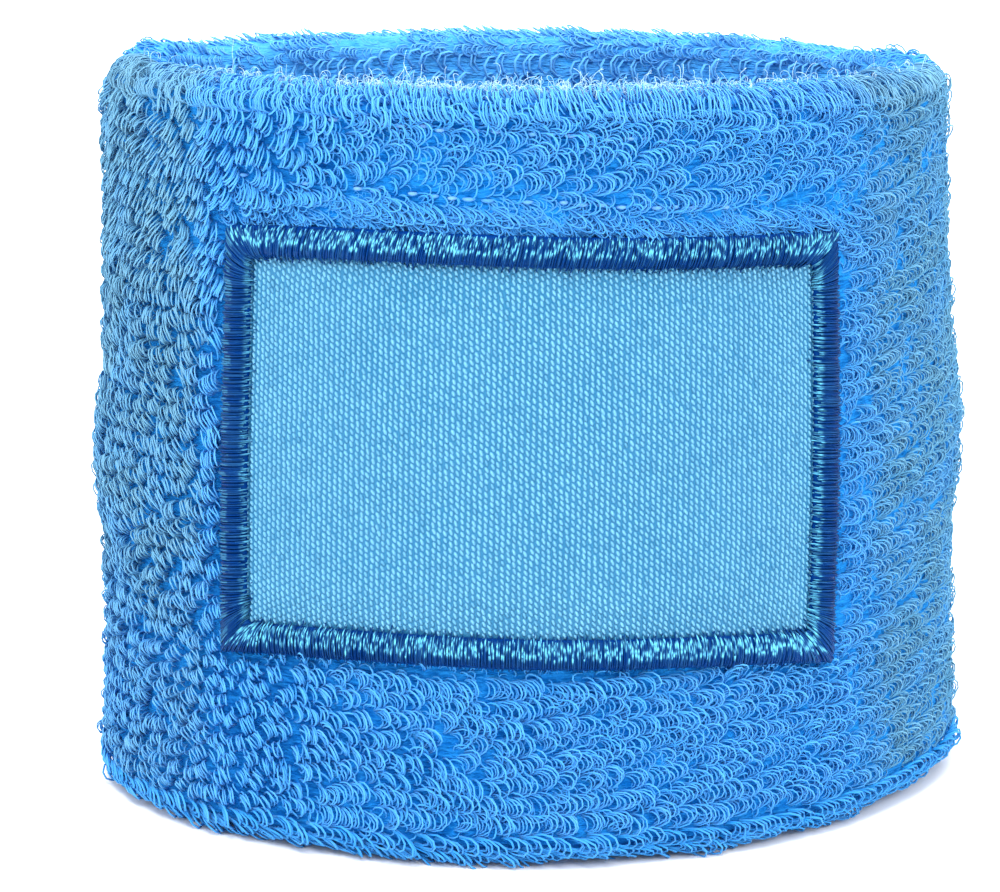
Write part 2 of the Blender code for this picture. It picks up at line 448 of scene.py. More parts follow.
def tubes(
    paths: np.ndarray,
    radius: np.ndarray | float,
    tone: np.ndarray,
    sides: int = 3,
    fade: np.ndarray | None = None,
) -> MeshParts:
    """Closed thin tubes along many paths of one length.

    The section keeps one side to each path's own plane. Each tube has a cell of its own on the map.

    Args:
        paths: points, as paths x steps x 3.
        radius: tube radius, one for all or one for each point.
        tone: light or dark, as paths x steps.
        sides: sides of the section.
        fade: how far each path goes to its finish's second pair of colours, painted under other light, if it
            has one.

    Returns:
        The parts of one mesh.
    """
    count, steps, _ = paths.shape
    along = unit(np.gradient(paths, axis=1))
    middle = paths[:, steps // 2] - paths[:, 0]
    chord = paths[:, -1] - paths[:, 0]
    side = np.cross(middle, chord)
    weak = np.linalg.norm(side, axis=1) < 1e-9
    side[weak] = np.cross(along[weak, 0], np.array([0.31, 0.52, 0.79]))
    side = unit(side)[:, None, :]
    side = unit(side - along * (side * along).sum(-1, keepdims=True))
    other = np.cross(along, side)
    angle = np.arange(sides) / sides * 2 * math.pi
    radius = np.broadcast_to(radius, (count, steps))
    ring = np.cos(angle)[:, None] * side[:, :, None, :] + np.sin(angle)[:, None] * other[:, :, None, :]
    points = paths[:, :, None, :] + radius[:, :, None, None] * ring
    index = np.arange(count * steps * sides).reshape(count, steps, sides)
    after = np.roll(index, -1, axis=2)
    quads = np.stack([index[:, :-1], after[:, :-1], after[:, 1:], index[:, 1:]], -1).reshape(-1, 4)
    fan = np.arange(1, sides - 1)
    first, last = index[:, 0], index[:, -1]
    head = np.stack([np.repeat(first[:, :1], sides - 2, 1), first[:, fan + 1], first[:, fan]], -1)
    tail = np.stack([np.repeat(last[:, :1], sides - 2, 1), last[:, fan], last[:, fan + 1]], -1)
    tris = np.concatenate([head.reshape(-1, 3), tail.reshape(-1, 3)])

    columns = int(math.ceil(math.sqrt(count * 2.2)))
    rows = int(math.ceil(count / columns))
    cell_u = (np.arange(count) % columns) / columns
    cell_v = (np.arange(count) // columns) / rows
    across = (0.1 + 0.8 * np.arange(sides + 1) / sides) / columns
    upward = (0.06 + 0.88 * np.arange(steps) / (steps - 1)) / rows
    u = cell_u[:, None, None] + across[None, None, :]
    v = cell_v[:, None, None] + upward[None, :, None]
    u, v = np.broadcast_arrays(u, v)
    uv = np.stack([u, v], -1)
    quad_uv = np.stack([uv[:, :-1, :-1], uv[:, :-1, 1:], uv[:, 1:, 1:], uv[:, 1:, :-1]], -2)
    head_uv = np.stack([uv[:, 0, [0] * (sides - 2)], uv[:, 0, fan + 1], uv[:, 0, fan]], -2)
    tail_uv = np.stack([uv[:, -1, [0] * (sides - 2)], uv[:, -1, fan], uv[:, -1, fan + 1]], -2)
    return MeshParts(
        points=points.reshape(-1, 3),
        quads=quads,
        tris=tris,
        tone=np.repeat(np.broadcast_to(tone, (count, steps))[:, :, None], sides, 2),
        quad_uv=quad_uv,
        tri_uv=np.concatenate([head_uv.reshape(-1, 3, 2), tail_uv.reshape(-1, 3, 2)]),
        fade=None if fade is None else np.repeat(fade, steps * sides),
    )


def tube_triangles(steps: int, sides: int = 3) -> int:
    """Triangles of one closed tube."""
    return 2 * sides * (steps - 1) + 2 * (sides - 2)


def grid_shell(outer: np.ndarray, inner: np.ndarray, tone: np.ndarray, closed: bool) -> MeshParts:
    """A closed thin sheet between two grids of points.

    Args:
        outer: points of the outer face, as rows x columns x 3.
        inner: points of the inner face, in the same order.
        tone: light or dark, as rows x columns.
        closed: whether the last row joins the first.

    Returns:
        The parts of one mesh, with the outer face on the left half of the map.
    """
    rows, columns, _ = outer.shape
    index = np.arange(rows * columns).reshape(rows, columns)
    back = index + rows * columns
    if closed:
        here, there, behind, behind_there = index, np.roll(index, -1, 0), back, np.roll(back, -1, 0)
    else:
        here, there, behind, behind_there = index[:-1], index[1:], back[:-1], back[1:]
    front = np.stack([here[:, :-1], there[:, :-1], there[:, 1:], here[:, 1:]], -1).reshape(-1, 4)
    rear = np.stack([behind[:, :-1], behind[:, 1:], behind_there[:, 1:], behind_there[:, :-1]], -1)
    rear = rear.reshape(-1, 4)
    edges = [
        np.stack([here[:, 0], behind[:, 0], behind_there[:, 0], there[:, 0]], -1),
        np.stack([here[:, -1], there[:, -1], behind_there[:, -1], behind[:, -1]], -1),
    ]
    if not closed:
        edges.append(np.stack([index[0, :-1], index[0, 1:], back[0, 1:], back[0, :-1]], -1))
        edges.append(np.stack([index[-1, :-1], back[-1, :-1], back[-1, 1:], index[-1, 1:]], -1))
    quads = np.concatenate([front, rear, *edges])

    spans = rows if closed else rows - 1
    row_v, column_u = np.arange(spans) / spans, np.arange(columns - 1) / (columns - 1)
    u, v = np.broadcast_arrays(column_u[None, :], row_v[:, None])
    step_u, step_v = 1 / (columns - 1), 1 / spans
    corners = [(u, v), (u, v + step_v), (u + step_u, v + step_v), (u + step_u, v)]
    face_uv = np.stack([np.stack(corner, -1) for corner in corners], -2).reshape(-1, 4, 2)
    rear_uv = face_uv[:, [0, 3, 2, 1]]
    scale = np.array([0.48, 0.94])
    edge_count = len(quads) - 2 * len(face_uv)
    edge_uv = np.array([[0, 0.96], [0.01, 0.96], [0.01, 0.97], [0, 0.97]])
    quad_uv = np.concatenate(
        [face_uv * scale, rear_uv * scale + np.array([0.5, 0]), np.broadcast_to(edge_uv, (edge_count, 4, 2))]
    )
    tones = np.broadcast_to(tone, (rows, columns)).ravel()
    return MeshParts(
        points=np.concatenate([outer.reshape(-1, 3), inner.reshape(-1, 3)]),
        quads=quads,
        tris=np.zeros((0, 3), int),
        tone=np.concatenate([tones, tones]),
        quad_uv=quad_uv,
        tri_uv=np.zeros((0, 3, 2)),
    )


@dataclass(frozen=True)
class YarnFinish:
    """A procedural yarn or cloth finish.

    Args:
        name: material name.
        dark: colour at tone 0.
        light: colour at tone 1.
        roughness: of the surface.
        sheen: strength of the fuzz of fine fibres.
        sheen_tint: colour of that fuzz.
        mottle: how much a slow noise shifts the tone.
        mottle_scale: size of that noise's patches, per metre.
        ior: index of refraction.
        specular_level: strength of the highlights.
        specular_tint: colour of the highlights.
        relit_dark: colour at tone 0 where the fade attribute is 1, if the finish has a second pair: the same
            yarn under other painted light.
        relit_light: colour at tone 1 there.
        streak: how much finer the noise is upwards than along the band.
        bump: depth of a fine relief that follows the noise.
    """

    name: str
    dark: tuple[float, float, float]
    light: tuple[float, float, float]
    roughness: float = 0.85
    sheen: float = 0.0
    sheen_tint: tuple[float, float, float] = (0.6, 0.85, 1.0)
    mottle: float = 0.15
    mottle_scale: float = 160.0
    ior: float = 1.45
    specular_level: float = 0.5
    specular_tint: tuple[float, float, float] = (1.0, 1.0, 1.0)
    relit_dark: tuple[float, float, float] | None = None
    relit_light: tuple[float, float, float] | None = None
    streak: float = 1.0
    bump: float = 0.0

    @staticmethod
    def blend(
        made: bpy.types.Material, factor: bpy.types.NodeSocket, first: tuple, second: tuple
    ) -> bpy.types.NodeSocket:
        """A new colour mix in the material.

        Args:
            made: the material.
            factor: 0 gives the first colour and 1 the second.
            first: colour at 0.
            second: colour at 1.

        Returns:
            The mixed colour's socket.
        """
        mix = made.node_tree.nodes.new("ShaderNodeMix")
        mix.data_type = "RGBA"
        colours = [socket for socket in mix.inputs if socket.type == "RGBA"]
        colours[0].default_value = (*first, 1)
        colours[1].default_value = (*second, 1)
        made.node_tree.links.new(factor, mix.inputs["Factor"])
        return next(socket for socket in mix.outputs if socket.type == "RGBA")

    def build(self) -> bpy.types.Material:
        """The material, whose colour follows the tone attribute and a noise on object coordinates.

        The tone plus the noise, less half its range, runs from the dark to the light colour.

        Returns:
            The material.
        """
        made = bpy.data.materials.new(self.name)
        made.use_nodes = True
        nodes, links = made.node_tree.nodes, made.node_tree.links
        shader = nodes["Principled BSDF"]
        tone = nodes.new("ShaderNodeAttribute")
        tone.attribute_name = TONE
        place = nodes.new("ShaderNodeTexCoord")
        noise = nodes.new("ShaderNodeTexNoise")
        noise.inputs["Scale"].default_value = self.mottle_scale
        noise.inputs["Detail"].default_value = 3.0
        stretch = nodes.new("ShaderNodeMapping")
        stretch.inputs["Scale"].default_value = (1, 1, self.streak)
        links.new(place.outputs["Object"], stretch.inputs["Vector"])
        links.new(stretch.outputs["Vector"], noise.inputs["Vector"])
        shift = nodes.new("ShaderNodeMath")
        shift.operation = "MULTIPLY_ADD"
        shift.inputs[1].default_value = 2 * self.mottle
        links.new(noise.outputs["Fac"], shift.inputs[0])
        links.new(tone.outputs["Fac"], shift.inputs[2])
        centre = nodes.new("ShaderNodeMath")
        centre.operation = "SUBTRACT"
        centre.inputs[1].default_value = self.mottle
        centre.use_clamp = True
        links.new(shift.outputs[0], centre.inputs[0])
        result = self.blend(made, centre.outputs[0], self.dark, self.light)
        # The second pair paints other light: painted sheen on the pile's ends, painted fill light inside the
        # band.
        if self.relit_dark is not None:
            relit = self.blend(made, centre.outputs[0], self.relit_dark, self.relit_light)
            fade = nodes.new("ShaderNodeAttribute")
            fade.attribute_name = RELIGHT
            both = self.blend(made, fade.outputs["Fac"], self.dark, self.light)
            colours = [socket for socket in both.node.inputs if socket.type == "RGBA"]
            links.new(result, colours[0])
            links.new(relit, colours[1])
            result = both
        links.new(result, shader.inputs["Base Color"])
        if self.bump:
            relief = nodes.new("ShaderNodeBump")
            relief.inputs["Distance"].default_value = self.bump
            links.new(noise.outputs["Fac"], relief.inputs["Height"])
            links.new(relief.outputs["Normal"], shader.inputs["Normal"])
        shader.inputs["Roughness"].default_value = self.roughness
        shader.inputs["IOR"].default_value = self.ior
        shader.inputs["Specular IOR Level"].default_value = self.specular_level
        shader.inputs["Specular Tint"].default_value = (*self.specular_tint, 1)
        shader.inputs["Sheen Weight"].default_value = self.sheen
        shader.inputs["Sheen Roughness"].default_value = 0.5
        shader.inputs["Sheen Tint"].default_value = (*self.sheen_tint, 1)
        return made


# One yarn: dark and light paint its shaded roots and lit tips; the second pair is a painted sheen, paler and
# greyer, for the band's ends.
PILE_YARN = YarnFinish(
    "pile_yarn",
    (0.004, 0.245, 0.66),
    (0.084, 0.375, 0.80),
    0.85,
    0.1,
    specular_level=0.2,
    mottle=0.12,
    relit_dark=(0.05, 0.275, 0.52),
    relit_light=(0.138, 0.345, 0.51),
)
# The same yarn painted lighter, against the shade inside the band, for the far rim and the inner wall; its
# second pair is the outer wall's colours, to join them.
INSIDE_YARN_PAINTED_LIGHTER = YarnFinish(
    "inside_pile_yarn_painted_lighter",
    (0.08, 0.37, 0.80),
    (0.12, 0.42, 0.82),
    0.85,
    0.1,
    specular_level=0.2,
    mottle=0.12,
    relit_dark=(0.004, 0.245, 0.66),
    relit_light=(0.084, 0.375, 0.80),
)
# The ground cloth: the pile's yarn painted darker, as painted shade between the loops; its second pair paints
# it lighter inside the band.
GROUND_YARN = YarnFinish(
    "ground_yarn",
    (0.0, 0.11, 0.41),
    (0.014, 0.25, 0.69),
    0.9,
    specular_level=0.1,
    mottle=1.6,
    mottle_scale=1000,
    streak=4.0,
    bump=0.0006,
    relit_dark=(0.03, 0.27, 0.70),
    relit_light=(0.07, 0.36, 0.80),
)
PALE_YARN = YarnFinish("pale_ground_yarn", (0.03, 0.23, 0.60), (0.15, 0.35, 0.68), 0.8)
FUZZ_FIBRE = YarnFinish("loose_fibre", (0.30, 0.66, 0.93), (0.58, 0.84, 0.98), 0.7, 0.1)
# Dark is painted shade between and round the floats, light the painted highlight on their ridges.
SATIN = YarnFinish(
    "label_satin", (0.012, 0.145, 0.30), (0.160, 0.45, 0.67), 0.45, specular_level=0.3, mottle=0.06
)
# Navy thread; its light colour is the colour of the painted glint marks.
EMBROIDERY = YarnFinish(
    "embroidery_thread",
    (0.0, 0.026, 0.165),
    (0.17, 0.68, 0.93),
    0.35,
    mottle=0.01,
    specular_level=0.2,
    specular_tint=(0.15, 0.70, 1.0),
)
SEAM_THREAD = YarnFinish("seam_thread", (0.03, 0.22, 0.62), (0.08, 0.34, 0.80), 0.6)
ELASTIC = YarnFinish("covered_elastic", (0.40, 0.40, 0.46), (0.66, 0.65, 0.72), 0.6)
STABILISER = YarnFinish("stabiliser", (0.62, 0.62, 0.60), (0.82, 0.82, 0.80), 0.9, mottle_scale=900)
BOBBIN = YarnFinish("bobbin_thread", (0.6, 0.6, 0.6), (0.85, 0.85, 0.85), 0.6)


@dataclass(frozen=True)
class LoopMake:
    """How the loops of one region are knitted.

    Args:
        plies: each filament's reach against the longest, and its shift against the row's pitch.
        low_plies: how many short filaments fill the ground between loops.
        steps: points along a filament.
        reach: of the longest filament.
        spread: between a loop's two feet.
        thickness: filament diameter.
        columns: loops in a row round the band.
    """

    plies: tuple[tuple[float, float], ...]
    low_plies: int
    steps: int
    reach: float
    spread: float
    thickness: float
    columns: int


@dataclass
class LabelPlace:
    """Where the label is sewn on the wall.

    Args:
        wall: the folded wall.
        width: of the whole label, border included.
        height: the same upwards.
        rise: of its middle above the foot.
        offset: of its middle to the right of the wall's.
        tilt: how far its right end is turned down, in radians.
        border: width of the stitched border.
    """

    wall: WallShape
    width: float = 51.2 * MM
    height: float = 33.2 * MM
    rise: float = 32.45 * MM
    offset: float = 0.25 * MM
    tilt: float = math.radians(1.5)
    border: float = 2.4 * MM

    def warp(self, across: np.ndarray, up: np.ndarray) -> tuple[np.ndarray, np.ndarray]:
        """How far the sewn label strays from a true rectangle: its sides bow out, its corners sag.

        Both grow as the cube of the distance from the label's middle.

        Args:
            across: place from the middle, to the right.
            up: place from the middle, upwards.

        Returns:
            Shifts to the right and upwards.
        """
        side = np.clip(across / (self.width / 2), -1.1, 1.1)
        level = np.clip(up / (self.height / 2), -1.1, 1.1)
        out = np.where(side > 0, 0.45, 0.25) * side**3 * np.maximum(1 - level**2, 0)
        sag = np.where(side > 0, 0.65 * (1 - level), 1.1 - 0.2 * level) * np.abs(side) ** 3
        return out * MM, -sag * MM

    def points(self, across: np.ndarray, up: np.ndarray, depth: np.ndarray) -> np.ndarray:
        """Points in space from the label's own directions.

        Args:
            across: place from the label's middle, to the right.
            up: place from its middle, upwards.
            depth: below the outer skin.

        Returns:
            Points with three coordinates.
        """
        across, up, depth = np.broadcast_arrays(across, up, depth)
        out, sag = self.warp(across, up)
        turned = spin(np.stack([across + out, up + sag], -1), -self.tilt)
        return self.wall.stand(self.offset + turned[..., 0], self.rise + turned[..., 1], depth)

    def own(self, arc: np.ndarray, height: np.ndarray) -> tuple[np.ndarray, np.ndarray]:
        """The label's own coordinates of a place on the wall, to about a tenth of a millimetre.

        Args:
            arc: length along the wall.
            height: above the foot.

        Returns:
            Places to the right of the label's middle and above it.
        """
        turned = spin(np.stack([arc - self.offset, height - self.rise], -1), self.tilt)
        across, up = turned[..., 0], turned[..., 1]
        out, sag = self.warp(across, up)
        return across - out, up - sag

    def gap(self, arc: np.ndarray, height: np.ndarray) -> np.ndarray:
        """Distance outside the label's outline; negative inside it."""
        across, up = self.own(arc, height)
        return np.maximum(np.abs(across) - self.width / 2, np.abs(up) - self.height / 2)


@dataclass
class Combing:
    """How loops lie.

    Args:
        turn: the way each leans, in radians from the right.
        lean: its rise off the cloth, in radians.
        reach: factor on its length.
        width: factor on the gap between its feet.
        tufted: how evenly its filaments stand side by side in place of nesting.
        lift: how far its root stands above the usual depth.
    """

    turn: np.ndarray
    lean: np.ndarray
    reach: np.ndarray
    width: np.ndarray
    tufted: np.ndarray
    lift: np.ndarray


@dataclass
class TerryPile:
    """The loops of the pile over the whole folded wall.

    Args:
        wall: the folded wall.
        label: the label, which no loop stands under.
        seed: picks the small differences between loops.
        row_pitch: between rows.
        root_depth: of the loops' feet below the outer skin.
        front_share: how far the front reaches to each side, against the length round the wall.
        above_label: how far two extra rows stand above the label's top edge.
    """

    wall: WallShape
    label: LabelPlace
    seed: int = 11
    row_pitch: float = 1.5 * MM
    root_depth: float = 1.35 * MM
    front_share: float = 0.27
    above_label: tuple[float, float] = (0.75 * MM, 1.75 * MM)

    NESTED = ((1.0, 0.0), (0.82, 0.02), (0.64, 0.0), (0.46, 0.0), (0.84, 0.48), (0.62, 0.5))
    SPARSE = ((1.0, 0.0), (0.75, 0.0), (0.5, 0.0), (0.8, 0.5))
    THIN = ((1.0, 0.0), (0.7, 0.05), (0.85, 0.5))

    MAKES = {
        Region.FRONT: LoopMake(NESTED, 4, 8, 2.1 * MM, 1.45 * MM, 0.148 * MM, 108),
        Region.BACK: LoopMake(SPARSE, 0, 7, 2.1 * MM, 1.5 * MM, 0.2 * MM, 108),
        Region.RIM: LoopMake(NESTED, 4, 8, 1.9 * MM, 1.4 * MM, 0.125 * MM, 108),
        Region.FAR_RIM: LoopMake(NESTED, 1, 7, 1.75 * MM, 1.35 * MM, 0.155 * MM, 108),
        Region.INNER: LoopMake(THIN, 0, 6, 1.8 * MM, 1.75 * MM, 0.26 * MM, 76),
        Region.FOOT: LoopMake(SPARSE, 0, 7, 1.9 * MM, 1.5 * MM, 0.2 * MM, 108),
    }
    BEHIND = {Region.FRONT: Region.BACK, Region.RIM: Region.FAR_RIM}

    def region_of(self, run: float) -> Region:
        """The region that a row belongs to at the front, by its place round the section.

        Args:
            run: length round the section.

        Returns:
            The region.
        """
        edges = self.wall.outline
        if run < edges[1]:
            return Region.FRONT
        if run < edges[4]:
            return Region.RIM
        if run < edges[5]:
            return Region.INNER
        return Region.FOOT

    def roots(self) -> dict[Region, np.ndarray]:
        """Every loop's root: rows an even pitch apart, with every other row half a loop along.

        Returns:
            Lengths along the wall and round the section, by region.
        """
        rng = np.random.default_rng(self.seed)
        whole = self.wall.outline[-1]
        rows = round(whole / self.row_pitch)
        found: dict[Region, list[np.ndarray]] = {region: [] for region in Region}
        for row in range(rows):
            run = (row + 0.5) * whole / rows
            region = self.region_of(run)
            columns = self.MAKES[region].columns
            pitch = self.wall.around / columns
            arc = (np.arange(columns) + 0.5 * (row % 2)) * pitch - self.wall.around / 2
            arc = arc + rng.normal(0, 0.13, columns) * pitch
            place = np.full(columns, run) + rng.normal(0, 0.09, columns) * self.row_pitch
            place = place + self.climb(arc, run)
            roots = np.stack([arc, place], -1)
            facing = np.abs(arc) < self.front_share * self.wall.around
            behind = self.BEHIND.get(region, region)
            found[region].append(roots[facing])
            found[behind].append(roots[~facing])
        middle_of_label = np.array([self.label.offset, self.label.rise - self.wall.corner])
        for gap in self.above_label:
            across = np.arange(-self.label.width / 2, self.label.width / 2, 0.85 * MM)
            across = across + rng.normal(0, 0.12 * MM, len(across))
            row = np.stack([across, np.full(len(across), self.label.height / 2 + gap)], -1)
            found[Region.FRONT].append(middle_of_label + spin(row, -self.label.tilt))
        return {region: np.concatenate(parts) for region, parts in found.items()}

    def climb(self, arc: np.ndarray, run: float) -> np.ndarray:
        """How far a row of the outer wall strays from level, rising to the right of the label.

        Args:
            arc: length along the wall.
            run: length round the section.

        Returns:
            Shifts upwards, nought above the outer wall and at its top and bottom.
        """
        share = run / self.wall.straight
        if share > 1:
            return np.zeros_like(arc)
        edge, end = self.label.width / 2, self.front_share * self.wall.around
        ramp = smoothstep(edge, end, arc) * (1 - smoothstep(end, end + 20 * MM, arc))
        return 3.0 * MM * ramp * math.sin(math.pi * share) ** 2

    def fades(self, arc: np.ndarray, run: np.ndarray) -> np.ndarray:
        """How far the loops' colours go to their finish's second pair.

        On the outer wall that is a painted sheen, paler and greyer, for light that grazes the pile at the
        left and the right ends, with less of it at the bottom left, which stays darker as painted shade. On
        the far rim and the inner wall it joins their yarn, painted lighter against the shade inside the band,
        to the outer wall's colour.

        Args:
            arc: length along the wall.
            run: length round the section.

        Returns:
            Fades from 0 to 1.
        """
        edges = self.wall.outline
        share = np.abs(arc) / self.wall.around
        edge = self.label.width / 2
        spots = self.wall.place(arc, run, np.zeros_like(arc))
        # Painted sheen: the pile paler at the left and right ends, in patches; less of it low at the left, as
        # painted shade.
        left = smoothstep(edge + 1.2 * MM, edge + 4.5 * MM, -arc)
        right = smoothstep(edge - 0.5 * MM, edge + 9 * MM, arc)
        patches = 0.9 + 0.25 * WaveField(77, 7 * MM).at(spots)
        low = smoothstep(22 * MM, 8 * MM, run)
        relit = np.clip(np.maximum(left * (1 - 0.5 * low), right) * patches, 0, 1)
        relit = relit * smoothstep(0.40, 0.31, share) * (run < edges[3])
        # Far rim: the outer wall's colours near the front, the yarn painted lighter further back.
        join = smoothstep(0.34, self.front_share, share)
        join = np.maximum(join, smoothstep(edges[1] + 3 * MM, edges[1], run))
        far_rim = (run > edges[1]) & (run < edges[4]) & (share > self.front_share)
        return np.where(far_rim, join, relit)

    def heights(self, run: np.ndarray) -> np.ndarray:
        """Height of places round the section."""
        spot, _ = self.wall.section(run)
        return spot[..., 1]

    def combing(self, arc: np.ndarray, run: np.ndarray) -> "Combing":
        """How the loops lie over the band.

        A turn of zero leans a loop along the wall to the right, and a positive one turns it upwards.

        Args:
            arc: length along the wall of each root.
            run: length round the section of each root.

        Returns:
            The lie of every loop.
        """
        edges = self.wall.outline
        outer = run < edges[1]
        height = self.heights(run)
        across, up = self.label.own(arc, height)
        near = self.wall.place(arc, run, np.zeros_like(arc))
        share = np.abs(arc) / self.wall.around
        half_w, half_h = self.label.width / 2, self.label.height / 2

        # Where each way to lie holds, from 0 to 1.
        between = 1 - smoothstep(half_w - 1 * MM, half_w + 5 * MM, np.abs(across))
        over = outer * smoothstep(half_h - 2 * MM, half_h + 0.5 * MM, up) * between
        strip = over * (1 - smoothstep(half_h + 1.8 * MM, half_h + 2.8 * MM, up))
        under = outer * smoothstep(half_h - 2 * MM, half_h + 0.5 * MM, -up) * between
        hem = under * (1 - smoothstep(half_h + 0.9 * MM, half_h + 1.8 * MM, -up))
        left = outer * smoothstep(half_w - 12 * MM, half_w - 1 * MM, -across) * smoothstep(0.42, 0.36, share)
        right = outer * smoothstep(half_w - 1 * MM, half_w + 3 * MM, across) * smoothstep(0.46, 0.38, share)
        ends = smoothstep(0.19, 0.25, share) * smoothstep(0.36, 0.31, share)
        crest = smoothstep(edges[2] - 4.2 * MM, edges[2] - 3.0 * MM, run) * (run < edges[3])
        crest = crest * smoothstep(0.30, 0.26, share)
        far = (run > edges[1]) * (run < edges[4]) * smoothstep(0.24, 0.30, share)
        below = run > edges[5]
        inside = (run > edges[4]) & (run < edges[5])

        # Turns and leans, in degrees.
        slow, quick = WaveField(5, 16 * MM).at(near), WaveField(9, 5 * MM).at(near)
        turn = 9 * slow + 9 * quick + 22 * over + 22 * under + 20 * right - 55 * strip * (1 - left) + 50 * hem
        turn = turn + left * (28 - 62 * smoothstep(38 * MM, 47 * MM, height) - turn + 10 * quick)
        turn = turn + crest * (-172 - turn + 8 * quick)
        lean = 35 + 9 * WaveField(21, 6 * MM).at(near) - 5 * over - 14 * strip + 24 * left * (1 - strip)
        lean = lean - 14 * below - 10 * inside - 14 * far + crest * (66 - lean)
        lean = lean + ends * (np.minimum(lean, 28 + 16 * left) - lean)
        # Factors on length and width.
        reach = 1 + 0.08 * WaveField(33, 4 * MM).at(near)
        reach = reach + 0.25 * strip - 0.1 * hem - 0.18 * right - 0.08 * ends - 0.12 * left - 0.2 * crest
        narrow_left = left * (0.26 - 0.16 * smoothstep(18 * MM, 26 * MM, height))
        return Combing(
            turn=np.radians(turn),
            lean=np.radians(lean),
            reach=reach,
            width=1 - 0.18 * right - narrow_left - 0.4 * strip - 0.35 * hem + 0.5 * crest,
            tufted=np.maximum(left * (1 - strip), crest),
            lift=0.5 * MM * below,
        )

    def filaments(
        self, roots: np.ndarray, make: LoopMake, rng: np.random.Generator
    ) -> tuple[np.ndarray, np.ndarray, np.ndarray]:
        """The nested arcs of many loops.

        Each filament rises from one foot, swings out along the loop's lean, and comes back to the
        other foot. Its reach goes as a flattened sine, and its place between the feet as a cosine that
        is a little wider halfway.

        Args:
            roots: the loops' places.
            make: how they are knitted.
            rng: draws the small differences.

        Returns:
            Paths, as filaments x steps x 3, tones, as filaments x steps, and each filament's fade, its mix of
            painted light.
        """
        arc, run = roots[:, 0], roots[:, 1]
        main, low = len(make.plies), make.low_plies
        count, plies = len(roots), main + low
        lie = self.combing(arc, run)
        tufted = lie.tufted[:, None]
        shape, of_loop = (count, plies, 1), (count, 1, 1)
        ratio = np.ones(shape)
        nested = np.array([ply[0] for ply in make.plies])[None, :]
        ratio[:, :main, 0] = nested + tufted * (0.9 - nested) * 0.85
        ratio[:, main:, 0] = rng.uniform(0.42, 0.66, (count, low))
        shift = np.zeros(shape)
        offset = np.array([ply[1] for ply in make.plies])[None, :]
        even = (np.arange(main) / main - 0.45)[None, :] * 0.85
        shift[:, :main, 0] = offset + tufted * (even - offset)
        shift[:, main:, 0] = rng.uniform(-0.5, 0.5, (count, low))
        turn = lie.turn[:, None, None] + rng.normal(0, math.radians(7), of_loop)
        turn = turn + rng.normal(0, math.radians(4), shape)
        lean = lie.lean[:, None, None] + rng.normal(0, math.radians(6), of_loop)
        lean = lean + rng.normal(0, math.radians(4), shape)
        stray = math.radians(38) * (1 - 0.8 * tufted[:, :, None])
        turn[:, main:] += rng.normal(0, 1, (count, low, 1)) * stray
        lean = np.clip(lean, math.radians(12), math.radians(80))
        size = lie.reach[:, None, None] * rng.normal(1, 0.07, of_loop) * rng.normal(1, 0.03, shape)
        out = make.reach * ratio * size
        wide = make.spread * (0.45 + 0.55 * ratio) * rng.normal(1, 0.09, of_loop)
        wide = wide * lie.width[:, None, None]
        phase = np.linspace(0, math.pi, make.steps)[None, None, :]
        swing = out * np.sin(phase) ** 0.8
        between = -wide / 2 * np.cos(phase) * (1 + 0.55 * np.sin(phase))
        pitch = self.wall.around / make.columns
        push = shift * pitch + rng.normal(0, 0.05 * MM, shape)
        curl = 0.06 * MM * np.sin(2 * phase + rng.uniform(0, 2 * math.pi, shape)) * np.sin(phase)
        forward = swing * np.cos(lean) * (1 + 0.12 * np.sin(phase)) + push + curl
        lift = swing * np.sin(lean) - self.root_depth - curl + lie.lift[:, None, None]
        drop = np.zeros(shape)
        drop[:, main:, 0] = rng.uniform(-0.5, 0.5, (count, low)) * self.row_pitch
        d_arc = np.cos(turn) * forward - np.sin(turn) * between
        d_run = np.sin(turn) * forward + np.cos(turn) * between + drop
        paths = self.wall.place(arc[:, None, None] + d_arc, run[:, None, None] + d_run, lift)
        # Painted light and shade: roots dark and tips light, tips of the shorter inner filaments less so, for
        # the shade deep in the pile; the random draws are the yarn's own.
        tip = np.sin(phase) ** 1.2
        tone = 0.30 + 0.55 * tip * (0.6 + 0.4 * ratio)
        tone = tone + rng.normal(0, 0.05, of_loop) + rng.normal(0, 0.08, shape)
        # The short filaments between loops darker, as painted shade.
        tone[:, main:] -= 0.12
        # Painted light on the crest of the rim, which faces up, painted shade under the foot, and the left
        # tufts a little lighter, as painted light.
        crest = (run > self.wall.outline[1]) & (run < self.wall.outline[3])
        below = run > self.wall.outline[5]
        left_tufts = lie.tufted * (np.abs(arc) > 26 * MM)
        tone = tone + (0.22 * crest - 0.18 * below + 0.08 * left_tufts)[:, None, None]
        paths = paths.reshape(count * plies, make.steps, 3)
        tone = np.clip(tone, 0, 1).reshape(count * plies, make.steps)
        fade = np.repeat(self.fades(arc, run), plies)
        return paths, tone, fade

    def kept(self, roots: np.ndarray, region: Region) -> np.ndarray:
        """The roots that aren't under the label or in the closing seam.

        Args:
            roots: lengths along the wall and round the section.
            region: whose roots they are.

        Returns:
            Those that stay.
        """
        arc, run = roots[:, 0], roots[:, 1]
        height = self.heights(run)
        if region is Region.FRONT:
            across, up = self.label.own(arc, height)
            beside = np.abs(up) < self.label.height / 2
            margin = np.where((across < 0) & beside, 0.9 * MM, 0.15 * MM)
            margin = np.where(up > self.label.height / 2 - 0.5 * MM, 0.55 * MM, margin)
            return roots[self.label.gap(arc, height) > margin]
        if region is Region.INNER:
            return roots[np.abs(height - self.wall.height / 2) > 0.75 * MM]
        return roots

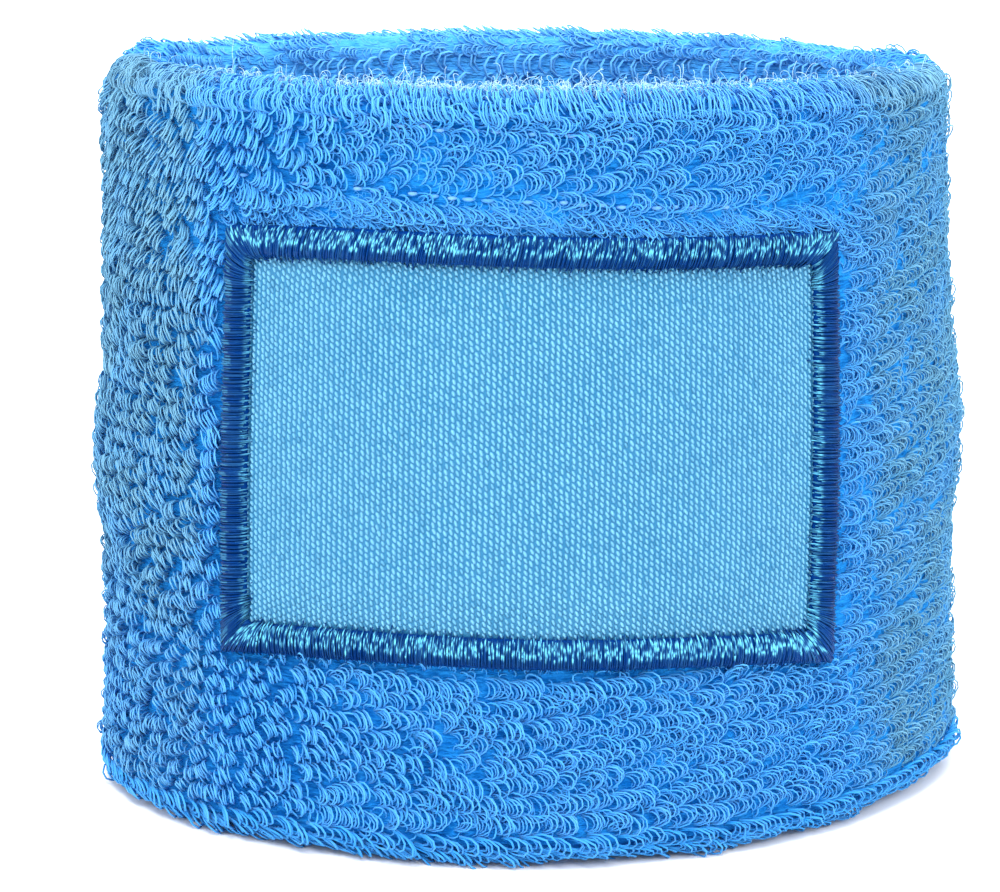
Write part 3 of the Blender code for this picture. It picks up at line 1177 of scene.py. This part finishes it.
    def build(self) -> None:
        """Makes every piece of the pile, each under the triangle limit."""
        outside, inside = PILE_YARN.build(), INSIDE_YARN_PAINTED_LIGHTER.build()
        rng = np.random.default_rng(self.seed + 1)
        for region, roots in self.roots().items():
            make = self.MAKES[region]
            roots = self.kept(roots, region)
            per_loop = (len(make.plies) + make.low_plies) * tube_triangles(make.steps)
            groups = max(1, math.ceil(len(roots) * per_loop / PIECE_LIMIT))
            order = np.argsort(roots[:, 0], kind="stable")
            for number, members in enumerate(np.array_split(order, groups), 1):
                paths, tone, fade = self.filaments(roots[members], make, rng)
                parts = tubes(paths, make.thickness / 2, tone, fade=fade)
                # The far rim and the inner wall take the yarn painted lighter.
                finish = inside if region in (Region.INNER, Region.FAR_RIM) else outside
                piece = make_mesh(f"pile_{region.value}_{number}", parts, finish)
                settle(piece, "terry_pile")


@dataclass
class GroundKnit:
    """The knitted cloth that the loops stand in, folded double, with pale yarn bared in two rows.

    Args:
        wall: the folded wall.
        label: the label, beside which the cloth is painted lighter, as painted light.
        face: depth of the cloth's outer face below the pile's skin.
        thickness: of the cloth.
        course_pitch: between bared floats, in millimetres.
        flat_size: of the tube before it is folded: once round, and from end to end; not used.
    """

    wall: WallShape
    label: LabelPlace
    face: float = 1.05 * MM
    thickness: float = 0.5 * MM
    course_pitch: float = 1.46
    flat_size: tuple[float, float] = (0.182, 0.125)

    # Height of each bared row and the two ends that it runs between, in millimetres.
    BARED_ROWS = ((51.5, -23.5, 18.5), (56.6, -17.0, 12.0))

    def build(self) -> None:
        """Makes the cloth and its bared yarn."""
        wall = self.wall
        edges = wall.outline
        seam = edges[4] + wall.straight / 2
        gap = 0.5 * MM
        run = np.concatenate(
            [
                np.linspace(seam + gap, edges[5], 14, endpoint=False),
                np.linspace(edges[5], edges[8], 18, endpoint=False),
                np.linspace(edges[8], edges[8] + edges[1], 30, endpoint=False),
                np.linspace(edges[8] + edges[1], edges[8] + edges[4], 18, endpoint=False),
                np.linspace(edges[8] + edges[4], edges[8] + seam - gap, 15),
            ]
        )
        arc = np.linspace(-wall.around / 2, wall.around / 2, 160, endpoint=False)
        arcs, runs = np.meshgrid(arc, run, indexing="ij")
        base = wall.place(arcs, runs, np.zeros_like(arcs))
        ripple = 0.06 * MM * WaveField(3, 3 * MM).at(base)
        outer = wall.place(arcs, runs, ripple - self.face)
        inner = wall.place(arcs, runs, ripple - self.face - self.thickness)
        round_run = np.mod(runs, edges[8])
        inside = (round_run > edges[3]) & (round_run < edges[5])
        # Painted light: the cloth lighter to each side of the label; the wave is its own random tone.
        sides = smoothstep(self.label.width / 2 - 2 * MM, self.label.width / 2 + 4 * MM, np.abs(arcs))
        tone = 0.40 + 0.15 * WaveField(17, 2.2 * MM).at(base) + 0.35 * sides
        parts = grid_shell(outer, inner, np.clip(tone, 0, 1), closed=True)
        # Inside the band the cloth takes its second pair, painted lighter against the shade there.
        parts.fade = np.tile(inside.astype(float).ravel(), 2)
        cloth = settle(make_mesh("ground_cloth", parts, GROUND_YARN.build()), "ground_knit")
        dashes = self.bared_yarn()

    def bared_yarn(self) -> bpy.types.Object:
        """Short floats of pale yarn in two rows above the label, where the loops are parted.

        Returns:
            The piece.
        """
        rng = np.random.default_rng(41)
        rows = []
        for height, low, high in self.BARED_ROWS:
            centre = np.arange(low, high, self.course_pitch) * MM
            centre = centre + rng.normal(0, 0.12, len(centre)) * MM
            half = rng.uniform(0.32, 0.58, len(centre)) * MM
            step = np.linspace(-1, 1, 6)[None, :]
            arc = centre[:, None] + half[:, None] * step
            up = (height + rng.normal(0, 0.08, len(centre)))[:, None] * MM - 0.045 * centre[:, None]
            depth = (0.75 + 0.4 * step**2) * MM
            rows.append(self.wall.stand(arc, up, depth))
        paths = np.concatenate(rows)
        paths = paths[rng.uniform(0, 1, len(paths)) < 0.7]
        tone = np.broadcast_to(rng.uniform(0.2, 1, (len(paths), 1)), paths.shape[:2])
        taper = np.array([0.04, 0.12, 0.15, 0.15, 0.12, 0.04]) * MM
        parts = tubes(paths, np.broadcast_to(taper, tone.shape), tone, sides=6)
        return settle(make_mesh("bared_ground_yarn", parts, PALE_YARN.build()))


def label_grid(half_w: float, half_h: float, columns: int, rows: int) -> tuple[np.ndarray, np.ndarray]:
    """Places on an even grid over a rectangle about the label's middle."""
    across, up = np.linspace(-half_w, half_w, columns), np.linspace(-half_h, half_h, rows)
    return np.meshgrid(across, up, indexing="ij")


@dataclass
class SatinLabel:
    """The blank woven label: a thin panel with the raised floats of its satin weave.

    Args:
        place: where it is sewn.
        tuck: how far its edge lies under the border.
        thickness: of the cloth.
    """

    place: LabelPlace
    tuck: float = 1.35 * MM
    thickness: float = 0.2 * MM

    def depth(self, across: np.ndarray, up: np.ndarray) -> np.ndarray:
        """How deep the panel's face lies: a slight pillow with faint waves, level at the border.

        Args:
            across: place from the label's middle, to the right.
            up: place from its middle, upwards.

        Returns:
            Depths below the outer skin.
        """
        half_w = self.place.width / 2 - self.place.border
        half_h = self.place.height / 2 - self.place.border
        inset = np.minimum(half_w - np.abs(across), half_h - np.abs(up))
        pillow = smoothstep(-0.5 * MM, 3.5 * MM, inset)
        spots = np.stack([across, up], -1)
        waves = 0.05 * MM * WaveField(51, 14 * MM).at(spots)
        return 0.72 * MM - 0.34 * MM * pillow + waves * pillow

    def build(self) -> None:
        """Makes the panel and its floats."""
        place = self.place
        half_w = place.width / 2 - (place.border - self.tuck)
        half_h = place.height / 2 - (place.border - self.tuck)
        across, up = label_grid(half_w, half_h, 81, 55)
        depth = self.depth(across, up)
        outer = place.points(across, up, depth)
        inner = place.points(across, up, depth + self.thickness)
        # The panel near the dark end of the satin colours: painted shade between the floats.
        parts = grid_shell(outer, inner, np.full(across.shape, 0.05), closed=False)
        finish = SATIN.build()
        panel = settle(make_mesh("label_panel_cloth", parts, finish), "label_panel")
        floats = self.floats(finish)

    def floats(self, finish: bpy.types.Material) -> bpy.types.Object:
        """The weave's floats: slim ridged lozenges in diagonal rows, each a closed form.

        Args:
            finish: the panel's own.

        Returns:
            The piece.
        """
        place = self.place
        rng = np.random.default_rng(61)
        half_w = place.width / 2 - place.border + 0.35 * MM
        half_h = place.height / 2 - place.border + 0.35 * MM
        pitch_x, pitch_y = 0.44 * MM, 0.48 * MM
        columns, rows = int(2 * half_w / pitch_x), int(2 * half_h / pitch_y)
        column, row = np.meshgrid(np.arange(columns), np.arange(rows), indexing="ij")
        across = (column + 0.5 - columns / 2) * pitch_x
        up = (row + 0.5 - rows / 2 + np.mod(column * 0.38, 1)) * pitch_y
        across, up = across.ravel(), up.ravel()
        across = across + rng.normal(0, 0.025, len(across)) * MM
        up = up + rng.normal(0, 0.025, len(up)) * MM
        angle = math.radians(116) + rng.normal(0, math.radians(5), len(across))
        long = 0.31 * MM * rng.normal(1, 0.06, len(across))
        wide = 0.165 * MM
        depth = self.depth(across, up)
        rim, ridge = [[1, 0], [0.45, 1], [-0.45, 1], [-1, 0], [-0.45, -1], [0.45, -1]], [[0.5, 0], [-0.5, 0]]
        ends = np.array(rim + ridge)
        lift = np.array([0.02] * 6 + [-0.13] * 2) * MM
        a = ends[None, :, 0] * long[:, None]
        b = ends[None, :, 1] * wide
        c, s = np.cos(angle)[:, None], np.sin(angle)[:, None]
        float_across, float_up = across[:, None] + a * c - b * s, up[:, None] + a * s + b * c
        points = place.points(float_across, float_up, depth[:, None] + lift)
        tris = [(0, 1, 6), (1, 2, 7), (1, 7, 6), (2, 3, 7), (3, 4, 7), (4, 5, 6), (4, 6, 7), (5, 0, 6)]
        tris += [(0, 5, 1), (5, 4, 1), (4, 2, 1), (4, 3, 2)]
        count = len(across)
        faces = (np.array(tris)[None] + 8 * np.arange(count)[:, None, None]).reshape(-1, 3)
        # Painted highlight and shade: each float lighter along its ridge and darker round its rim.
        tone = np.clip(rng.normal(0.72, 0.12, (count, 1)) + np.array([-0.4] * 6 + [0.25] * 2), 0, 1)
        columns = int(math.sqrt(count)) + 1
        cell = np.stack([np.arange(count) % columns, np.arange(count) // columns], -1)
        spot = 0.5 + 0.4 * ends[:, ::-1]
        uv = (cell[:, None, :] + spot[None]) / columns
        tri_uv = uv.reshape(-1, 2)[faces]
        parts = MeshParts(
            points.reshape(-1, 3), np.zeros((0, 4), int), faces, tone, np.zeros((0, 4, 2)), tri_uv
        )
        return settle(make_mesh("label_weave_floats", parts, finish))


@dataclass
class StitchedBorder:
    """The satin-stitched border: a bead of closely set stitches that fan at the corners.

    Args:
        place: where the label is sewn.
        base_depth: of the bead's edges below the pile's skin.
        crown: height of the bead's middle over its edges.
        pitch: between stitches.
        fan: length at each corner over which they fan.
        thread: its diameter.
        steps: points along a stitch.
    """

    place: LabelPlace
    base_depth: float = 0.55 * MM
    crown: float = 0.80 * MM
    pitch: float = 0.175 * MM
    fan: float = 6.0 * MM
    thread: float = 0.172 * MM
    steps: int = 13

    # For the bottom, right, top and left bars: where over the bead the painted glint marks lie, and how
    # bright they are.
    PAINTED_GLINTS = ((0.42, 0.98, 1.3), (0.86, 1.04, 0.8), (0.02, 0.62, 1.3), (0.92, 1.04, 0.5))

    def across_bead(self, outer: np.ndarray, way: np.ndarray, share: np.ndarray, lift: float) -> np.ndarray:
        """Points over the bead.

        Args:
            outer: places on the outline, in the label's own two directions.
            way: from there to the inner edge.
            share: how far over the bead, 0 at the outline and 1 at the inner edge.
            lift: above the bead's own crown.

        Returns:
            Points in space.
        """
        spot = outer[..., None, :] + way[..., None, :] * share[..., None]
        bump = np.sqrt(np.clip(1 - (2 * np.clip(share, 0, 1) - 1) ** 2, 0, 1)) ** 0.8
        depth = self.base_depth - self.crown * bump - lift
        return self.place.points(spot[..., 0], spot[..., 1], depth)

    def outline(self, pitch: float) -> tuple[np.ndarray, np.ndarray]:
        """Places round the outline at a pitch, and the way from each to the inner edge.

        Near a corner the ways slope more and more, so that the stitches fan.

        Args:
            pitch: between places.

        Returns:
            Places and ways, in the label's own two directions.
        """
        half_w, half_h, width = self.place.width / 2, self.place.height / 2, self.place.border
        starts, ways = [], []
        for side in range(4):
            long, other = (half_w, half_h) if side % 2 == 0 else (half_h, half_w)
            number = int(2 * long / pitch)
            t = (np.arange(number) + 0.5) / number * 2 * long - long
            slope = np.sign(t) * width * smoothstep(long - self.fan, long, np.abs(t)) ** 1.5
            here = np.stack([t, np.full(number, -other)], -1)
            inward = np.stack([-slope, np.full(number, width)], -1)
            quarter = side * math.pi / 2
            starts.append(spin(here, quarter))
            ways.append(spin(inward, quarter))
        return np.concatenate(starts), np.concatenate(ways)

    def painted_glints(self, outer: np.ndarray, share: np.ndarray, rng: np.random.Generator) -> np.ndarray:
        """Tone along each stitch: navy, with a short bright length, a painted glint where filament thread
        catches light.

        Args:
            outer: each stitch's place on the outline.
            share: how far over the bead each of its points lies.
            rng: draws the small differences.

        Returns:
            Tones, as stitches x points.
        """
        half_h = self.place.height / 2
        level = np.abs(outer[:, 1]) > half_h - 0.01 * MM
        side = np.where(level, np.where(outer[:, 1] > 0, 2, 0), np.where(outer[:, 0] > 0, 1, 3))
        low, high, strength = np.array(self.PAINTED_GLINTS)[side].T
        along = np.zeros(share.shape)
        for chance in (0.9, 0.8, 0.7):
            centre = low + (high - low) * rng.uniform(0, 1, len(outer))
            spread = rng.uniform(0.035, 0.07, len(outer))
            bright = strength * rng.uniform(0.3, 1.1, len(outer)) * (rng.uniform(0, 1, len(outer)) < chance)
            bell = np.exp(-(((share - centre[:, None]) / spread[:, None]) ** 2))
            along = np.maximum(along, bright[:, None] * bell)
        dim = np.clip(rng.normal(0.02, 0.02, (len(outer), 1)), 0, 1)
        # Painted teal glint marks on the outer part of the left bar.
        teal = 0.18 * (side == 3)[:, None] * (share < 0.45) * (rng.uniform(0, 1, (len(outer), 1)) < 0.5)
        return np.clip(dim + along + teal, 0, 1)

    def build(self) -> None:
        """Makes the core bead and two layers of stitches."""
        finish = EMBROIDERY.build()
        outer, way = self.outline(0.8 * MM)
        share = np.linspace(0.02, 0.98, 9)[None, :]
        share = np.broadcast_to(share, (len(outer), 9))
        top = self.across_bead(outer, way, share, -0.12 * MM)
        spot = outer[:, None, :] + way[:, None, :] * share[..., None]
        bottom = self.place.points(spot[..., 0], spot[..., 1], np.full(share.shape, 1.05 * MM))
        core = grid_shell(top, bottom, np.zeros(share.shape), closed=True)
        settle(make_mesh("border_core", core, finish), "label_border_stitch")
        rng = np.random.default_rng(71)
        layers = []
        outer, way = self.outline(self.pitch)
        count = len(outer)
        steps = np.linspace(0, 1, self.steps)[None, :]
        for layer, lift in enumerate((-0.05, 0.03)):
            swing = rng.normal(0, 0.09, (count, 1)) * MM
            start = rng.uniform(-0.02, 0.10, count) + 0.05 * layer
            stop = rng.uniform(0.94, 1.02, count) - 0.04 * layer
            stop = stop + np.where(np.arange(count) % 3 == 0, rng.uniform(0.06, 0.2, count), 0)
            share = start[:, None] + (stop - start)[:, None] * steps
            top_bar = (outer[:, 1] > self.place.height / 2 - 0.01 * MM)[:, None]
            slant = np.where(top_bar, [-0.55 * MM, 0.0], 0.0)
            paths = self.across_bead(outer + swing - slant / 2, way + slant, share, lift * MM)
            layers.append((paths, self.painted_glints(outer, share, rng)))
        paths = np.concatenate([p for p, _ in layers])
        tone = np.concatenate([t for _, t in layers])
        thin_ends = self.thread / 2 * np.sin(np.linspace(0.35, math.pi - 0.3, self.steps)) ** 0.4
        parts = tubes(paths, thin_ends, tone)
        settle(make_mesh("border_stitches", parts, finish), "label_border_stitch")


@dataclass
class HiddenLayers:
    """What is inside the wall: elastic, stabiliser, bobbin thread and tack stitches.

    Args:
        wall: the folded wall.
        place: where the label is.
        overlap: how far the stabiliser reaches past the label's outline.
    """

    wall: WallShape
    place: LabelPlace
    overlap: float = 2.5 * MM

    def elastic(self) -> None:
        """The covered elastic, an even spiral that climbs the wall between its two layers."""
        turns, steps, margin = 5, 720, 6 * MM
        arc = np.linspace(0, self.wall.around * turns, steps)
        height = np.linspace(margin, self.wall.height - margin, steps)
        core = self.wall.stand(arc, height, np.full(steps, 3.7 * MM))[None]
        core_parts = tubes(core, 0.15 * MM, np.full((1, steps), 0.3), sides=6)
        settle(make_mesh("elastic_core", core_parts, ELASTIC.build()), "elastic_yarn")

    def frame_points(self, inset: float, pitch: float) -> np.ndarray:
        """Places round the label at an inset from its outline.

        Args:
            inset: from the outline inwards.
            pitch: between places.

        Returns:
            Places in the label's own two directions.
        """
        half_w, half_h = self.place.width / 2 - inset, self.place.height / 2 - inset
        corners = np.array([[-half_w, -half_h], [half_w, -half_h], [half_w, half_h], [-half_w, half_h]])
        found = []
        for a, b in zip(corners, np.roll(corners, -1, axis=0)):
            number = int(np.linalg.norm(b - a) / pitch)
            found.append(a + (b - a) * (np.arange(number) / number)[:, None])
        return np.concatenate(found)

    def tack(self) -> None:
        """The tack-down run of stitches under the border, dipping at each needle hole."""
        spots = self.frame_points(1.7 * MM, 0.4 * MM)
        wave = np.abs(np.sin(np.arange(len(spots)) * math.pi / 4))
        depth = (0.98 - 0.16 * wave) * MM
        path = self.place.points(spots[:, 0], spots[:, 1], depth)
        path = np.concatenate([path, path[:1]])[None]
        parts = tubes(path, 0.09 * MM, np.full(path.shape[:2], 0.5), sides=6)
        settle(make_mesh("tack_thread", parts, EMBROIDERY.build()), "label_tack_stitch")

    def backing(self) -> None:
        """The non-woven stabiliser, a thin sheet behind the outer layer."""
        half_w, half_h = self.place.width / 2 + self.overlap, self.place.height / 2 + self.overlap
        across, up = label_grid(half_w, half_h, 41, 29)
        spots = np.stack([across, up], -1)
        depth = 2.72 * MM + 0.03 * MM * WaveField(81, 3 * MM).at(spots)
        outer = self.place.points(across, up, depth)
        inner = self.place.points(across, up, depth + 0.15 * MM)
        tone = np.clip(0.5 + 0.4 * WaveField(83, 1.5 * MM).at(spots), 0, 1)
        shell = grid_shell(outer, inner, tone, closed=False)
        piece = make_mesh("stabiliser_sheet", shell, STABILISER.build())
        settle(piece, "label_backing")

    def bobbin(self) -> None:
        """The bobbin thread: short pulls on the underside of the border's stitches."""
        spots = self.frame_points(1.2 * MM, 0.3 * MM)
        sign = np.where(np.arange(len(spots)) % 2 == 0, 1.0, -1.0)[:, None]
        inward = -unit(spots) * 0.7 * MM
        depth = np.full(len(spots), 3.2 * MM)
        shifted = spots + sign * inward
        path = self.place.points(shifted[:, 0], shifted[:, 1], depth)
        path = np.concatenate([path, path[:1]])[None]
        parts = tubes(path, 0.07 * MM, np.full(path.shape[:2], 0.6), sides=4)
        settle(make_mesh("bobbin_zigzag", parts, BOBBIN.build()), "label_bobbin_thread")

    def build(self) -> None:
        """Makes all four."""
        self.elastic()
        self.tack()
        self.backing()
        self.bobbin()


@dataclass
class ClosingSeam:
    """The overlocked seam that closes the folded tube, halfway down the inner wall.

    Args:
        wall: the folded wall.
        pitch: of its stitches.
        reach: how far each stitch goes to either side of the join.
    """

    wall: WallShape
    pitch: float = 0.9 * MM
    reach: float = 0.85 * MM

    def build(self) -> None:
        """Makes the zigzag of the seam as two crossing threads."""
        stitches = int(self.wall.around / self.pitch)
        steps = stitches * 4
        paths = []
        for phase in (0.0, math.pi):
            t = np.arange(steps + 1) / steps
            arc = t * self.wall.around
            swing = np.sin(2 * math.pi * t * stitches + phase)
            height = self.wall.height / 2 + self.reach * swing
            depth = self.wall.wall - (1.35 - 0.25 * np.cos(4 * math.pi * t * stitches + phase)) * MM
            paths.append(self.wall.stand(arc, height, depth))
        parts = tubes(np.stack(paths), 0.16 * MM, np.full((2, steps + 1), 0.5), sides=5)
        piece = make_mesh("closing_seam_zigzag", parts, SEAM_THREAD.build())
        settle(piece, "closing_seam_thread")


@dataclass
class RimFuzz:
    """Loose curly fibres that stand off the rim.

    Args:
        wall: the folded wall.
        number: of fibres.
        steps: points along a fibre.
        radius: of a fibre.
        seed: picks their places and curls.
    """

    wall: WallShape
    number: int = 760
    steps: int = 18
    radius: float = 0.02 * MM
    seed: int = 91

    def build(self) -> None:
        """Makes the fibres, each a random walk whose direction turns smoothly."""
        rng = np.random.default_rng(self.seed)
        edges = self.wall.outline
        arc = rng.normal(1 * MM, 17 * MM, self.number)
        run = edges[2] + rng.normal(0.7, 0.8, self.number) * MM
        heading = rng.normal(0, 0.6, self.number)
        climb = rng.uniform(0.2, 2.4, self.number)
        curl = rng.normal(0, 0.15, self.number)
        coil = rng.choice([-1.0, 1.0], self.number) * rng.normal(0.36, 0.10, self.number)
        stride = rng.uniform(0.06, 0.17, self.number) * MM
        lift = np.full(self.number, -0.35 * MM)
        places = []
        for _ in range(self.steps):
            places.append(np.stack([arc, run, lift], -1))
            curl = curl * 0.92 + rng.normal(0, 0.08, self.number)
            heading = heading + curl
            coil = coil + rng.normal(0, 0.06, self.number)
            climb = climb + coil
            arc = arc + stride * np.cos(heading) * np.cos(climb)
            run = run + stride * np.sin(heading) * np.cos(climb)
            lift = lift + stride * np.sin(climb)
        route = np.stack(places, 1)
        paths = self.wall.place(route[..., 0], route[..., 1], route[..., 2])
        tone = np.broadcast_to(rng.uniform(0.2, 1, (self.number, 1)), paths.shape[:2])
        parts = tubes(paths, self.radius, tone)
        settle(make_mesh("rim_loose_fibres", parts, FUZZ_FIBRE.build()))


@dataclass
class Studio:
    """Floor, backdrop, light and camera.

    Args:
        aim: where the lamps point.
        eye: where the camera stands.
        pitch: how far the camera looks down, in radians.
        roll: how far it is turned about its own axis, in radians.
    """

    aim: tuple[float, float, float] = (0.0, 0.0, 0.03)
    eye: tuple[float, float, float] = (0.0, -0.252, 0.08345)
    pitch: float = 0.2153
    roll: float = -0.0074

    # Name, place, side of its square in metres, and power in watts.
    LAMPS = (
        ("key", (-0.12, -0.40, 0.72), 0.3, 4.3),
        ("brow", (0.15, -0.62, 0.50), 0.3, 2.5),
        ("top", (0.05, 0.15, 0.85), 0.8, 8.0),
        ("left", (-0.60, -0.30, 0.30), 0.5, 2.4),
        ("right", (0.60, -0.30, 0.30), 0.5, 2.4),
    )

    def sweep(self) -> None:
        """A pale floor that curves up into a backdrop."""
        profile = [(-0.6, 0.0), (0.25, 0.0)]
        bend = np.linspace(0.2, math.pi / 2, 8)
        profile += [(0.25 + 0.2 * math.sin(a), 0.2 - 0.2 * math.cos(a)) for a in bend]
        profile += [(0.45, 0.9)]
        points = np.array([(x, y, z) for x in (-1.2, 1.2) for y, z in profile])
        n = len(profile)
        quads = np.array([(i, i + 1, n + i + 1, n + i) for i in range(n - 1)])[:, ::-1]
        parts = MeshParts(points, quads, np.zeros((0, 3), int), np.full(len(points), 0.5))
        floor = bpy.data.materials.new("floor_paper")
        floor.use_nodes = True
        shader = floor.node_tree.nodes["Principled BSDF"]
        shader.inputs["Base Color"].default_value = (0.93, 0.93, 0.93, 1)
        shader.inputs["Roughness"].default_value = 0.9
        make_mesh("floor", parts, floor)

    def lamp(self, name: str, place: tuple[float, float, float], size: float, power: float) -> None:
        """One soft area light, aimed at the middle of the band.

        Args:
            name: of the light.
            place: where it stands.
            size: side of its square.
            power: in watts.
        """
        data = bpy.data.lights.new(name, "AREA")
        data.shape = "SQUARE"
        data.size = size
        data.energy = power
        made = bpy.data.objects.new(name, data)
        bpy.context.scene.collection.objects.link(made)
        made.location = place
        way = unit(np.array(self.aim) - np.array(place))
        made.rotation_mode = "QUATERNION"
        made.rotation_quaternion = Vector(way).to_track_quat("-Z", "Y")

    def camera(self) -> None:
        """The camera, in front of the band and a little above its rim."""
        data = bpy.data.cameras.new("camera")
        data.sensor_width = 36.0
        data.lens = 113.6
        data.shift_x = -0.0299
        data.shift_y = 0.0005
        data.clip_start, data.clip_end = 0.01, 10
        made = bpy.data.objects.new("camera", data)
        bpy.context.scene.collection.objects.link(made)
        tip = Matrix.Rotation(math.pi / 2 - self.pitch, 4, "X")
        made.matrix_world = Matrix.Translation(self.eye) @ tip @ Matrix.Rotation(self.roll, 4, "Z")
        bpy.context.scene.camera = made

    def build(self) -> None:
        """Sets the whole stage."""
        scene = bpy.context.scene
        self.sweep()
        for name, place, size, power in self.LAMPS:
            self.lamp(name, place, size, power)
        world = bpy.data.worlds.new("room")
        world.use_nodes = True
        sky = world.node_tree.nodes["Background"]
        sky.inputs["Color"].default_value = (1, 1, 1, 1)
        sky.inputs["Strength"].default_value = 0.5
        scene.world = world
        scene.view_settings.view_transform = "Standard"
        self.camera()


def main() -> None:
    """Builds every piece, then the stage."""
    wall = WallShape.from_frame()
    label = LabelPlace(wall)
    LOG.info("wall %.1f mm round, half width %.1f mm", wall.around / MM, wall.half_width / MM)
    TerryPile(wall, label).build()
    GroundKnit(wall, label).build()
    SatinLabel(label).build()
    StitchedBorder(label).build()
    HiddenLayers(wall, label).build()
    ClosingSeam(wall).build()
    RimFuzz(wall).build()
    Studio().build()
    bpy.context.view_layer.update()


if __name__ == "__main__":
    main()
